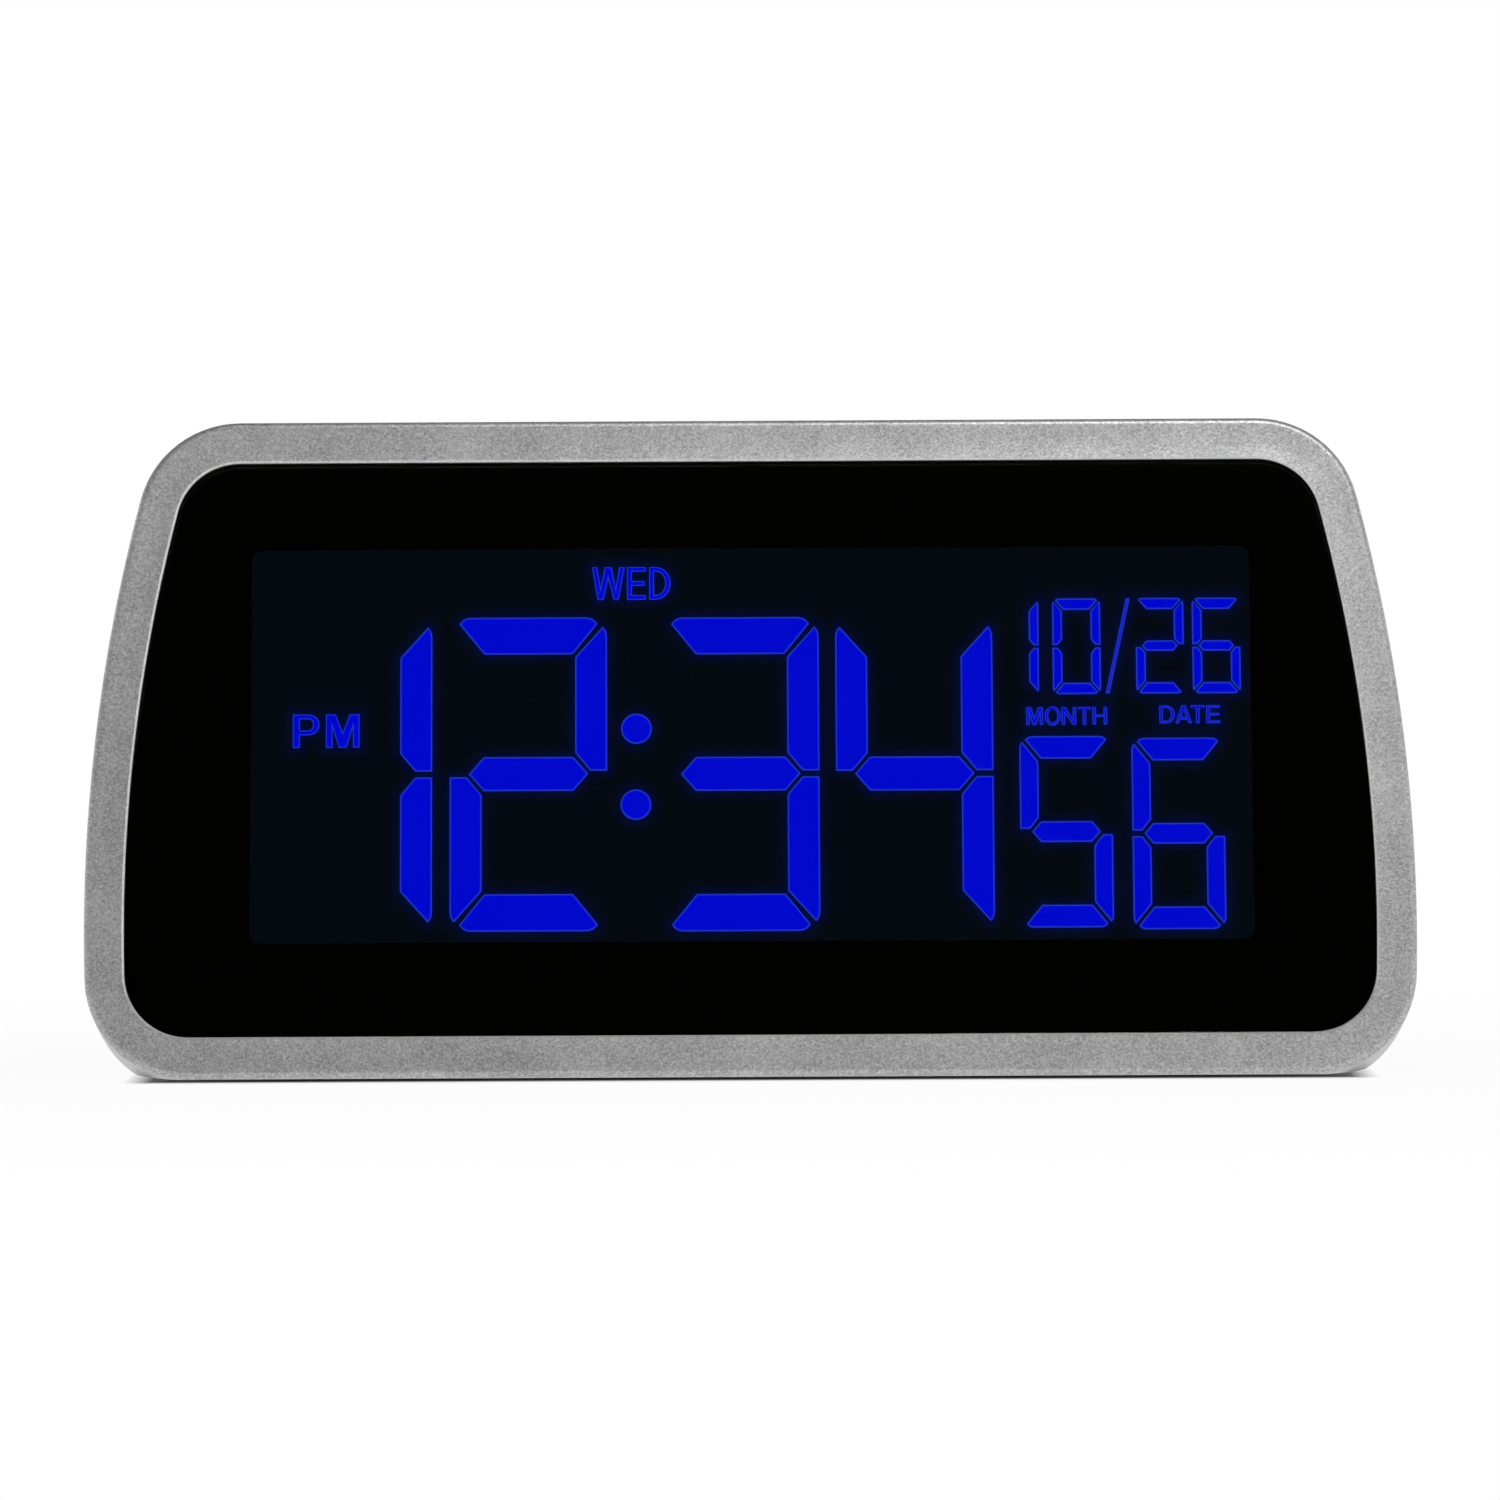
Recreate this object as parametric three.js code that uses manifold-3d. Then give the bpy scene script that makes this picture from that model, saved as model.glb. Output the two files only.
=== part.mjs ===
// A digital alarm clock for a bedside table, in millimetres, +Z up, its face towards -Y.
// The silver frame carries a clear lens; the display cell, its blue light and the boards sit behind it,
// and a moulded rear case closes the back and stands on four rubber feet.
import * as THREE from 'three';
import { mergeVertices } from 'three/addons/utils/BufferGeometryUtils.js';
import Module from 'manifold-3d';

const wasm = await Module();
wasm.setup();

// Clearances that every fit uses
const SEAT = 0.3; // between two pieces that rest on each other
const SIDE_FIT = 0.25; // around a piece that slides or drops into a hole
const CUT = 1; // how far a cutting shape runs past the face it opens
const FUSE = 0.1; // how far a joined shape sinks into the one it joins

// Face of the clock, measured in its own plane
const FACE_WIDTH = 190;
const FACE_HEIGHT = 95.5;
const FACE_TILT = THREE.MathUtils.degToRad(12);
const SIDE_RADIUS = 240;
const WIDEST_HEIGHT = 20;
const TOP_CORNER = 13.4;
const BOTTOM_CORNER = 14.5;
const UNDERSIDE = 0.8; // the frame's lowest edge above the table

// Silver frame
const RIM = 5.8;
const EDGE_ROUND = 0.9;
const EDGE_LAND = 0.1; // flat left between the front rounding and the level underside
const INNER_CHAMFER = 0.35;
const BEZEL_DEPTH = 13;
const BEZEL_WALL = 2.2;
const BEZEL_PLATE = 2;
const LENS_TOP_CORNER = 10;

// Lens, printed sheet and display window
const LENS_RECESS = 0.5;
const LENS_THICKNESS = 2;
const MASK_THICKNESS = 0.4;
const WINDOW_SIDE = 16.9; // from the clock's side to the window's upper corners
const WINDOW_TOP = 18.5;
const WINDOW_LOW = 19.8;
const WINDOW_CORNER = 1.5;

// Display cell and its blue light
const LCD_MARGIN = 2.8;
const LCD_CONTACT_EDGE = 4;
const LCD_THICKNESS = 2.2;
const GUIDE_THICKNESS = 3;
const REFLECTOR_THICKNESS = 0.3;
const LED_BOARD_THICKNESS = 1;
const LED_HEIGHT = 0.7;
const LED_LENGTH = 3;
const LED_PITCH = 18;
const LED_COUNT = 3;
const LED_HEAD = 0.3; // how far the lamps stay behind the guide's front
const HOLDER_WALL = 1.5;
const HOLDER_BACK = 1.5;
const ZEBRA_END = 6.2; // from the window's edge to the connector's end
const ZEBRA_THICKNESS = 2.4;

// Readout, drawn at this size and fitted to the window: the three digit sizes and where their cells stand
const READOUT = { width: 142.4, height: 57.2 };
const BIG_DIGIT = { width: 22.5, height: 45.8 };
const SMALL_DIGIT = { width: 13.5, height: 27.9 };
const DATE_DIGIT = { width: 6.85, height: 14 };
const BIG_BASE = 1.6;
const BIG_PAIR_PITCH = 24.8;
const HOURS_UNITS_RIGHT = 51;
const MINUTES_TENS_RIGHT = 81.1;
const COLON_X = 55.2;
const COLON_RADIUS = 2.15;
const COLON_HEIGHTS = [20, 31];
const SECONDS_TENS_RIGHT = 123.3;
const SECONDS_PITCH = 15.9;
const SECONDS_BASE = 2;
const MONTH_TENS_RIGHT = 112.4;
const MONTH_PITCH = 8.8;
const DAY_TENS_RIGHT = 132.9;
const DAY_PITCH = 8.2;
const DATE_BASE = 36.2;
const SLASH = { gap: 0.6, width: 0.65 };
const WEEKDAY_WORD = { left: 48.9, base: 49.8, width: 11.3, height: 4.7, stroke: 0.7 };
const NOON_WORD = { left: 6.5, base: 28.3, width: 9.3, height: 4.7, stroke: 0.9 };
const MONTH_WORD = { left: 110.6, base: 31.6, width: 11.6, height: 2.6, stroke: 0.36 };
const DATE_WORD = { left: 129.6, base: 31.8, width: 8.8, height: 2.6, stroke: 0.36 };

// Boards and what they carry
const BOARD_THICKNESS = 1.6;
const MAIN_BOARD_GAP = 1.1; // from its upper side corner to the case's wall
const MAIN_BOARD_LOW = 12;
const MAIN_BOARD_TOP = 20.9; // down from the face's top edge
const BOARD_SCREW_INSET = 2.8; // from the board's side edge
const BOARD_SCREW_LOW = 31;
const BOARD_SCREW_TOP = 4.1; // down from the board's top edge
const BOARD_POST_RADIUS = 2.6;
const CHIP = { size: 14, height: 1.6, x: -22, up: 46 };
const CRYSTAL = { radius: 1.4, length: 7, x: 14, up: 30 };

// Rear case
const CASE_DEPTH = 60;
const CASE_STEP = 1.8; // how far the case stands in from the frame
const CASE_WALL = 2.2;
const BACK_LEAN = THREE.MathUtils.degToRad(5);
const REAR_ROUND = 6;
const SIDE_TAPER = 3;
const LIP_LENGTH = 3.5;

// Feet
const FOOT_RADIUS = 5.5;
const FOOT_EDGE = 0.5;
const FOOT_RECESS = 0.8;
const FOOT_X = 68;
const FOOT_FRONT = 21.5;
const FOOT_REAR = 50;

// Screws: shank and head
const CASE_SCREW = { shank: 1.4, length: 12, head: 2.7, headHeight: 2 };
const BOARD_SCREW = { shank: 0.9, length: 5, head: 2, headHeight: 1.4 };
// Shares of a screw's own radius and height: its tip, its head's shoulder and crown, and the cross slot
const SCREW_FORM = { tip: 0.5, shoulder: 0.55, crown: 0.7 };
const CROSS_SLOT = { length: 1.1, width: 0.26, floor: 0.45 };
const THREAD_GAP = 0.1;
const CASE_POST_RADIUS = 3.6;
const CASE_SCREW_LOW = 17;
const SCREW_FLOOR = 2.2;

// Snooze bar on top
const SNOOZE_LENGTH = 56;
const SNOOZE_WIDTH = 9;
const SNOOZE_PROUD = 1;
const SNOOZE_EDGE = 0.5;
const SNOOZE_BACK = 20.6; // its middle behind the face
const SNOOZE_TRAVEL = 0.8;
const SNOOZE_EAR = 3;

// Buttons and switches in a row on the back, heights measured up the back wall
const ROW_ABOVE_BAY = 17.3;
const BUTTON_PITCH = 17;
const BUTTON_NAMES = ['time_set', 'alarm_set', 'hour', 'minute', 'mode'];
const BUTTON_LENGTH = 9;
const BUTTON_WIDTH = 5;
const BUTTON_PROUD = 1.2;
const BUTTON_EDGE = 0.4;
const BUTTON_TRAVEL = 0.8;
const FLANGE = 1;
const FLANGE_RIM = 1;
const STEM_RADIUS = 1.6;
const SWITCH_SIZE = 6.2;
const SWITCH_HEIGHT = 3.5;
const SLIDE_X = 58;
const SLIDE_KNOB = { length: 4.5, width: 3.6, proud: 1.6, groove: 0.55 };
const ALARM_TRAVEL = 4;
const DIMMER_TRAVEL = 2.5;
const SLIDE_BODY = { length: 15, width: 7 };
const SLIDE_STEM = { length: 3.6, width: 1.8 };
const KEY_POST_X = 45.5;
const POST_RADIUS = 2.3;
const KEY_BOARD_HALF = { length: 67, width: 6.5 };

// Battery bay in the lower middle of the back
const CELL = { radius: 7.1, length: 49, nub: 2.6, nubLength: 1.3 };
const SPRING = { length: 4.6, wire: 0.7, wide: 4.4, narrow: 3.2, turns: 3 };
const SPRING_STEPS = 8;
const SPRING_SIDES = 5;
const CONTACT = { thickness: 0.5, size: 9 };
const BAY_LOW = 10.5;
const BAY_WALL = 1.8;
const CELL_GAP = 0.8; // between the two cells
const CELL_PLAY = 0.4;
const DOOR_THICKNESS = 1.8;
const DOOR_SEAT = 1.2;
const DOOR_PIN = { radius: 0.5, length: 1.2 };
const DOOR_PIN_FIT = 0.08;
const LATCH = { width: 12, slot: 0.9, depth: 6 };
const GRIP = { length: 9, width: 0.9, height: 0.4, pitch: 2, count: 3 };

// Sounder and power socket
const BUZZER = { radius: 11, height: 5.5, x: -56, up: 27 };
const BUZZER_COLLAR = 1.6;
const SOUND_SLOT = { length: 14, width: 1.5, pitch: 3.2, count: 5 };
const JACK = { x: 56, up: 22, barrel: 3.9, length: 14, bore: 1.9 };
const JACK_FLANGE = { radius: 5.2, height: 1.2 };
const JACK_NUT = { radius: 6, height: 2.2, sides: 6 };
const JACK_BORE_DEPTH = 10;
const JACK_PIN = { radius: 0.7, length: 8 };
const RIBBON = { width: 14, thickness: 0.4, x: 0, slack: 0.6 };

// How finely curves are cut into flats
const CORNER_STEPS = 6;
const SIDE_STEPS = 7;
const ROUND_STEPS = 3;
const SCREW_CIRCLE = 8;
const SMALL_CIRCLE = 12;
const LARGE_CIRCLE = 20;
const RIBBON_STEPS = 10;
const PILL_FLAT = 0.01; // a pill's ends stop this short of a half circle, so that no two points meet

// Places that follow from the sizes above. Depths are measured behind the face, square to it.
const sinTilt = Math.sin(FACE_TILT);
const cosTilt = Math.cos(FACE_TILT);
const FACE_FOOT = UNDERSIDE + EDGE_ROUND * sinTilt + EDGE_LAND;
const windowHeight = FACE_HEIGHT - WINDOW_TOP - WINDOW_LOW;
const windowWidth = 2 * (halfWidthAt(WINDOW_LOW + windowHeight) - WINDOW_SIDE);
const lensFront = LENS_RECESS;
const lensBack = lensFront + LENS_THICKNESS;
const maskFront = lensBack + SEAT;
const maskBack = maskFront + MASK_THICKNESS;
const plateFront = maskBack + SEAT;
const plateBack = plateFront + BEZEL_PLATE;
const lcdFront = maskBack + SEAT;
const lcdBack = lcdFront + LCD_THICKNESS;
const guideFront = lcdBack + SEAT;
const guideBack = guideFront + GUIDE_THICKNESS;
const reflectorFront = guideBack + SEAT;
const reflectorBack = reflectorFront + REFLECTOR_THICKNESS;
const holderFloor = reflectorBack + SEAT;
const holderBack = holderFloor + HOLDER_BACK;
const mainBoardFront = holderBack + SEAT;
const mainBoardBack = mainBoardFront + BOARD_THICKNESS;
const caseFront = BEZEL_DEPTH + SEAT;
const caseFoot = UNDERSIDE + CASE_STEP;
const lcdHalfWidth = windowWidth / 2 + LCD_MARGIN;
const lcdLow = WINDOW_LOW - LCD_MARGIN - LCD_CONTACT_EDGE;
const lcdHigh = WINDOW_LOW + windowHeight + LCD_MARGIN;
const holderLow = lcdLow - SIDE_FIT - HOLDER_WALL;
const holderHigh = lcdHigh + SIDE_FIT + HOLDER_WALL;
const holderHalf = lcdHalfWidth + SIDE_FIT + HOLDER_WALL;
const guideLow = WINDOW_LOW - LCD_MARGIN / 2;
const guideHalfWidth = lcdHalfWidth - LED_BOARD_THICKNESS - LED_HEIGHT - 2 * SEAT;
const snoozeTop = FACE_HEIGHT - CASE_STEP;
const wellRadius = CASE_POST_RADIUS + CASE_WALL / 2;
const caseScrewX = holderHalf + CASE_POST_RADIUS + CUT;
const mainBoardHigh = FACE_HEIGHT - MAIN_BOARD_TOP;
const mainBoardHalf = halfWidthAt(mainBoardHigh) - CASE_STEP - CASE_WALL - MAIN_BOARD_GAP;
const boardScrewX = mainBoardHalf - BOARD_SCREW_INSET;
const boardScrewHigh = mainBoardHigh - BOARD_SCREW_TOP;
const boardScrewHeights = [BOARD_SCREW_LOW, boardScrewHigh];
// The upper case screws pass halfway between the board's screws
const caseScrewHeights = [CASE_SCREW_LOW, (BOARD_SCREW_LOW + boardScrewHigh) / 2];
const caseScrewPlaces = caseScrewHeights.flatMap((z) => [{ x: -caseScrewX, z }, { x: caseScrewX, z }]);
const bayLength = CELL.length + CELL.nubLength + SPRING.length + CONTACT.thickness + 3 * SEAT;
const cellPitch = 2 * CELL.radius + CELL_GAP;
const bayHeight = 2 * cellPitch + CELL_PLAY;
const rowHeight = BAY_LOW + bayHeight + BAY_WALL + ROW_ABOVE_BAY;
const bayFloor = DOOR_THICKNESS + 2 * CELL.radius + 3 * SEAT;
const doorHalfWidth = bayLength / 2 + DOOR_SEAT - SIDE_FIT;
const doorHinge = BAY_LOW - DOOR_SEAT + SIDE_FIT + DOOR_THICKNESS / 2;
const doorTop = BAY_LOW + bayHeight + DOOR_SEAT - SIDE_FIT;

// Half the face's width at a height up the face, between its rounded corners
function halfWidthAt(up) {
  return FACE_WIDTH / 2 - SIDE_RADIUS + Math.sqrt(SIDE_RADIUS ** 2 - (up - WIDEST_HEIGHT) ** 2);
}

// The face plane: x across, y up the face, z out of it
const FACE = new THREE.Matrix4().makeRotationX(Math.PI / 2 - FACE_TILT).setPosition(0, 0, FACE_FOOT);
// The back wall: x across, y up the wall, z into the case
const BACK = new THREE.Matrix4()
  .makeRotationX(Math.PI / 2 + BACK_LEAN)
  .setPosition(0, CASE_DEPTH, caseFoot);
// The top wall, square to the face: x across, y towards the face, z down into the case
const TOP = FACE.clone().multiply(
  new THREE.Matrix4().makeRotationX(Math.PI / 2).setPosition(0, snoozeTop, -SNOOZE_BACK));
// Level: x across, y up, z towards the front
const LEVEL = new THREE.Matrix4().makeRotationX(Math.PI / 2);
const WORLD = new THREE.Matrix4();

// Turning three.js geometry into solids and back

function solid(geometry, frame = WORLD) {
  const bare = geometry.clone().applyMatrix4(frame);
  bare.deleteAttribute('normal');
  bare.deleteAttribute('uv');
  const merged = mergeVertices(bare);
  return new wasm.Manifold(new wasm.Mesh({
    numProp: 3,
    vertProperties: Float32Array.from(merged.attributes.position.array),
    triVerts: Uint32Array.from(merged.index.array),
  }));
}

function geometryOf(shape) {
  const mesh = shape.getMesh();
  const indexed = new THREE.BufferGeometry();
  indexed.setAttribute('position', new THREE.BufferAttribute(mesh.vertProperties, 3));
  indexed.setIndex(new THREE.BufferAttribute(mesh.triVerts, 1));
  const faceted = indexed.toNonIndexed();
  faceted.computeVertexNormals();
  return faceted;
}

function join(shapes) {
  return shapes.reduce((sum, shape) => sum.add(shape));
}

// Outlines

function arc(x, y, radius, from, to, steps) {
  const points = [];
  for (let i = 0; i <= steps; i++) {
    const angle = from + ((to - from) * i) / steps;
    points.push(new THREE.Vector2(x + radius * Math.cos(angle), y + radius * Math.sin(angle)));
  }
  return points;
}

// The clock's face drawn in from its edges: flat top and foot, bowed sides, round corners
function faceOutline({
  side,
  top = side,
  foot = side,
  topCorner = TOP_CORNER - side,
  footCorner = BOTTOM_CORNER - side,
}) {
  const radius = SIDE_RADIUS - side;
  const centre = FACE_WIDTH / 2 - SIDE_RADIUS;
  const highY = FACE_HEIGHT - top - topCorner;
  const lowY = foot + footCorner;
  const highX = centre + Math.sqrt((radius - topCorner) ** 2 - (highY - WIDEST_HEIGHT) ** 2);
  const lowX = centre + Math.sqrt((radius - footCorner) ** 2 - (lowY - WIDEST_HEIGHT) ** 2);
  const highTurn = Math.atan2(highY - WIDEST_HEIGHT, highX - centre);
  const lowTurn = Math.atan2(lowY - WIDEST_HEIGHT, lowX - centre);
  const right = [
    ...arc(lowX, lowY, footCorner, -Math.PI / 2, lowTurn, CORNER_STEPS),
    ...arc(centre, WIDEST_HEIGHT, radius, lowTurn, highTurn, SIDE_STEPS).slice(1, -1),
    ...arc(highX, highY, topCorner, highTurn, Math.PI / 2, CORNER_STEPS),
  ];
  const left = right.map((p) => new THREE.Vector2(-p.x, p.y)).reverse();
  return [...right, ...left];
}

function roundedRect(x, y, width, height, radius, steps = ROUND_STEPS) {
  const dx = width / 2 - radius;
  const dy = height / 2 - radius;
  const quarter = Math.PI / 2;
  return [
    ...arc(x + dx, y - dy, radius, -quarter, 0, steps),
    ...arc(x + dx, y + dy, radius, 0, quarter, steps),
    ...arc(x - dx, y + dy, radius, quarter, 2 * quarter, steps),
    ...arc(x - dx, y - dy, radius, 2 * quarter, 3 * quarter, steps),
  ];
}

function pillOutline(x, y, length, width, steps = ROUND_STEPS) {
  return roundedRect(x, y, length, width, width / 2 - PILL_FLAT, steps);
}

// Basic solids. Each runs from low to high along its frame's z.

function prism(outline, low, high, frame = WORLD) {
  const geometry = new THREE.ExtrudeGeometry(new THREE.Shape(outline), {
    depth: high - low,
    bevelEnabled: false,
  });
  return solid(geometry.translate(0, 0, low), frame);
}

function box(x, y, width, height, low, high, frame = WORLD) {
  const geometry = new THREE.BoxGeometry(width, height, high - low);
  return solid(geometry.translate(x, y, (low + high) / 2), frame);
}

function rod(x, y, radius, low, high, frame = WORLD, steps = SMALL_CIRCLE) {
  const geometry = new THREE.CylinderGeometry(radius, radius, high - low, steps);
  geometry.rotateX(Math.PI / 2).translate(x, y, (low + high) / 2);
  return solid(geometry, frame);
}

// A rod that lies along x
function crossRod(y, z, radius, left, right, frame = WORLD, steps = SMALL_CIRCLE) {
  const geometry = new THREE.CylinderGeometry(radius, radius, right - left, steps);
  geometry.rotateZ(Math.PI / 2).translate((left + right) / 2, y, z);
  return solid(geometry, frame);
}

// A closed skin through convex rings of equal point counts, each turning the same way round the path
function loftGeometry(rings) {
  const count = rings[0].length;
  const positions = rings.flat().flatMap((p) => [p.x, p.y, p.z]);
  const index = [];
  for (let r = 0; r + 1 < rings.length; r++) {
    for (let i = 0; i < count; i++) {
      const next = (i + 1) % count;
      const a = r * count + i;
      const b = r * count + next;
      index.push(a, b, b + count, a, b + count, a + count);
    }
  }
  const last = (rings.length - 1) * count;
  for (let i = 1; i + 1 < count; i++) {
    index.push(0, i + 1, i, last, last + i, last + i + 1);
  }
  const geometry = new THREE.BufferGeometry();
  geometry.setAttribute('position', new THREE.Float32BufferAttribute(positions, 3));
  geometry.setIndex(index);
  return geometry;
}

function raise(outline, z) {
  return outline.map((p) => new THREE.Vector3(p.x, p.y, z));
}

// Quarter turns from 0 to 90 degrees
function quarterTurns(steps) {
  return Array.from({ length: steps + 1 }, (_, i) => ((Math.PI / 2) * i) / steps);
}

// Colours and finishes

function finish(color, roughness, metalness = 0, opacity = 1) {
  return new THREE.MeshStandardMaterial({
    color,
    roughness,
    metalness,
    opacity,
    transparent: opacity < 1,
  });
}

const silverPaint = finish(0x9b9b9b, 0.42, 0.6);
const buttonPlastic = finish(0x8a8a8c, 0.5);
const clearPlastic = finish(0xdfe6ee, 0.05, 0, 0.18);
const blackPrint = finish(0x030303, 0.5);
const displayBlack = finish(0x050b12, 0.35);
const lightBlue = finish(0x000cd0, 0.5);
const whitePlastic = finish(0xe4e4e0, 0.6);
const darkRubber = finish(0x1c1c1c, 0.9);
const casePlastic = finish(0x2a2b2d, 0.62);
const boardGreen = finish(0x1f5a36, 0.55);
const chipBlack = finish(0x141416, 0.5);
const brightMetal = finish(0xc4c6c9, 0.3, 1);
const brass = finish(0xb79a55, 0.35, 1);
const cellSleeve = finish(0x4a5568, 0.4, 0.2);

const clock = new THREE.Group();

function place(name, shape, material, frame = WORLD) {
  const mesh = new THREE.Mesh(geometryOf(shape), material);
  mesh.name = name;
  frame.decompose(mesh.position, mesh.quaternion, mesh.scale);
  clock.add(mesh);
  return mesh;
}

// Screws

// A pan-head screw, its head above z 0 and its shank below, with a cross slot in the head
function screw({ shank, length, head, headHeight }) {
  const { tip, shoulder, crown } = SCREW_FORM;
  const profile = [
    [0, -length], [shank * tip, -length], [shank, shank - length], [shank, 0], [head, 0],
    [head, headHeight * shoulder], [head * crown, headHeight], [0, headHeight],
  ].map(([r, h]) => new THREE.Vector2(r, h));
  const turned = new THREE.LatheGeometry(profile, SCREW_CIRCLE).rotateX(Math.PI / 2);
  const slotLength = head * CROSS_SLOT.length;
  const slotWidth = head * CROSS_SLOT.width;
  const slotFloor = headHeight * CROSS_SLOT.floor;
  return solid(turned)
    .subtract(box(0, 0, slotLength, slotWidth, slotFloor, headHeight + CUT))
    .subtract(box(0, 0, slotWidth, slotLength, slotFloor, headHeight + CUT));
}

function placeScrew(name, kind, frame, x, y, z) {
  const stand = new THREE.Matrix4().makeTranslation(x, y, z);
  place(name, screw(kind), brightMetal, frame.clone().multiply(stand));
}

// Silver frame

// Height up the face of a point that lies this far behind it and this high above the table
function heightUpFace(z, behind) {
  return (z - FACE_FOOT + behind * sinTilt) / cosTilt;
}

// Level depth from the face's foot of a point that lies this far behind the face at a given height
function depthAtLevel(z, behind) {
  return heightUpFace(z, behind) * sinTilt + behind * cosTilt;
}

// Where a case screw's post in the frame ends and the case's post begins
function postJoint(z) {
  return depthAtLevel(z, BEZEL_DEPTH + 2 * CASE_STEP);
}

function lensOutline(grow) {
  return faceOutline({
    side: RIM - grow,
    topCorner: LENS_TOP_CORNER + grow,
    footCorner: BOTTOM_CORNER - RIM + grow,
  });
}

// The frame's outer block: a rounded front edge, straight walls, and a level underside
function bezelBlock() {
  const rings = [raise(faceOutline({ side: 0 }), -BEZEL_DEPTH)];
  for (const turn of quarterTurns(ROUND_STEPS)) {
    const inset = EDGE_ROUND * (1 - Math.cos(turn));
    rings.push(raise(faceOutline({ side: inset }), EDGE_ROUND * (Math.sin(turn) - 1)));
  }
  const table = box(0, 0, 2 * FACE_WIDTH, 4 * CASE_DEPTH, -CASE_DEPTH, UNDERSIDE);
  return solid(loftGeometry(rings), FACE).subtract(table);
}

function buildBezel() {
  const cavityOutline = faceOutline({
    side: BEZEL_WALL,
    foot: heightUpFace(UNDERSIDE + BEZEL_WALL, BEZEL_DEPTH),
  });
  const flare = CUT + INNER_CHAMFER;
  const chamfer = loftGeometry([raise(lensOutline(0), -INNER_CHAMFER), raise(lensOutline(flare), CUT)]);
  const lcdHole = box(0, (lcdLow + lcdHigh) / 2, 2 * (lcdHalfWidth + SIDE_FIT),
    lcdHigh - lcdLow + 2 * SIDE_FIT, -plateBack - CUT, 0, FACE);
  let frame = bezelBlock()
    .subtract(prism(lensOutline(0), -plateFront, CUT, FACE))
    .subtract(solid(chamfer, FACE))
    .subtract(prism(cavityOutline, -BEZEL_DEPTH - CUT, -plateBack, FACE))
    .subtract(lcdHole);
  const embed = BEZEL_PLATE / 2;
  for (const side of [-1, 1]) {
    for (const up of boardScrewHeights) {
      const x = side * boardScrewX;
      frame = frame
        .add(rod(x, up, BOARD_POST_RADIUS, SEAT - mainBoardFront, embed - plateBack, FACE))
        .subtract(rod(x, up, BOARD_SCREW.shank + THREAD_GAP, -mainBoardFront, -plateBack, FACE));
    }
  }
  for (const { x, z } of caseScrewPlaces) {
    const joint = postJoint(z);
    const root = depthAtLevel(z, plateFront + embed);
    frame = frame
      .add(rod(x, z, CASE_POST_RADIUS, -joint, -root, LEVEL))
      .subtract(rod(x, z, CASE_SCREW.shank + THREAD_GAP, -joint - CUT, -root - CUT, LEVEL));
  }
  place('front_bezel', frame, silverPaint);
}

// Lens and printed sheet

function buildLens() {
  place('display_lens', prism(lensOutline(-SIDE_FIT), -lensBack, -lensFront), clearPlastic, FACE);
  const middle = WINDOW_LOW + windowHeight / 2;
  const windowOutline = roundedRect(0, middle, windowWidth, windowHeight, WINDOW_CORNER);
  const sheet = prism(lensOutline(-SIDE_FIT), -maskBack, -maskFront)
    .subtract(prism(windowOutline, -maskBack - CUT, -maskFront + CUT));
  place('display_mask', sheet, blackPrint, FACE);
}

// Readout

// Bar thicknesses as shares of a digit's width and height, and its gaps, trimmed corners and mitred
// ends as shares of the upright bar
const BAR = { upright: 0.2025, level: 0.118, half: 0.054, gap: 0.12, mitre: 0.53 };
const BAR_TRIM = { small: 0.12, short: 0.21, even: 0.3, long: 0.66 };

// The seven bars of one digit, as outlines in a cell that starts at 0,0
function digitBars(width, height) {
  const upright = width * BAR.upright;
  const level = height * BAR.level;
  const half = height * BAR.half;
  const mid = height / 2;
  const gap = upright * BAR.gap;
  const mitre = upright * BAR.mitre;
  const small = upright * BAR_TRIM.small;
  const short = upright * BAR_TRIM.short;
  const even = upright * BAR_TRIM.even;
  const long = upright * BAR_TRIM.long;
  const bars = {
    a: [[long, height], [width - long, height], [width - even + gap / 2, height - short],
      [width - upright - gap, height - level], [upright + gap, height - level],
      [even - gap / 2, height - short]],
    b: [[width - small, height - even], [width, height - long], [width, mid + gap],
      [width - mitre, mid + gap], [width - upright, mid + half + gap / 2],
      [width - upright, height - level - gap]],
    g: [[mitre + gap, mid], [upright, mid + half], [width - upright, mid + half],
      [width - mitre - gap, mid], [width - upright, mid - half], [upright, mid - half]],
  };
  const mirrorX = (bar) => bar.map(([x, y]) => [width - x, y]);
  const mirrorY = (bar) => bar.map(([x, y]) => [x, height - y]);
  bars.c = mirrorY(bars.b);
  bars.d = mirrorY(bars.a);
  bars.e = mirrorX(bars.c);
  bars.f = mirrorX(bars.b);
  return bars;
}

const LIT_BARS = {
  0: 'abcdef', 1: 'bc', 2: 'abged', 3: 'abgcd', 4: 'fgbc', 5: 'afgcd', 6: 'afgedc', 7: 'abc',
  8: 'abcdefg', 9: 'abcdfg',
};

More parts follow.
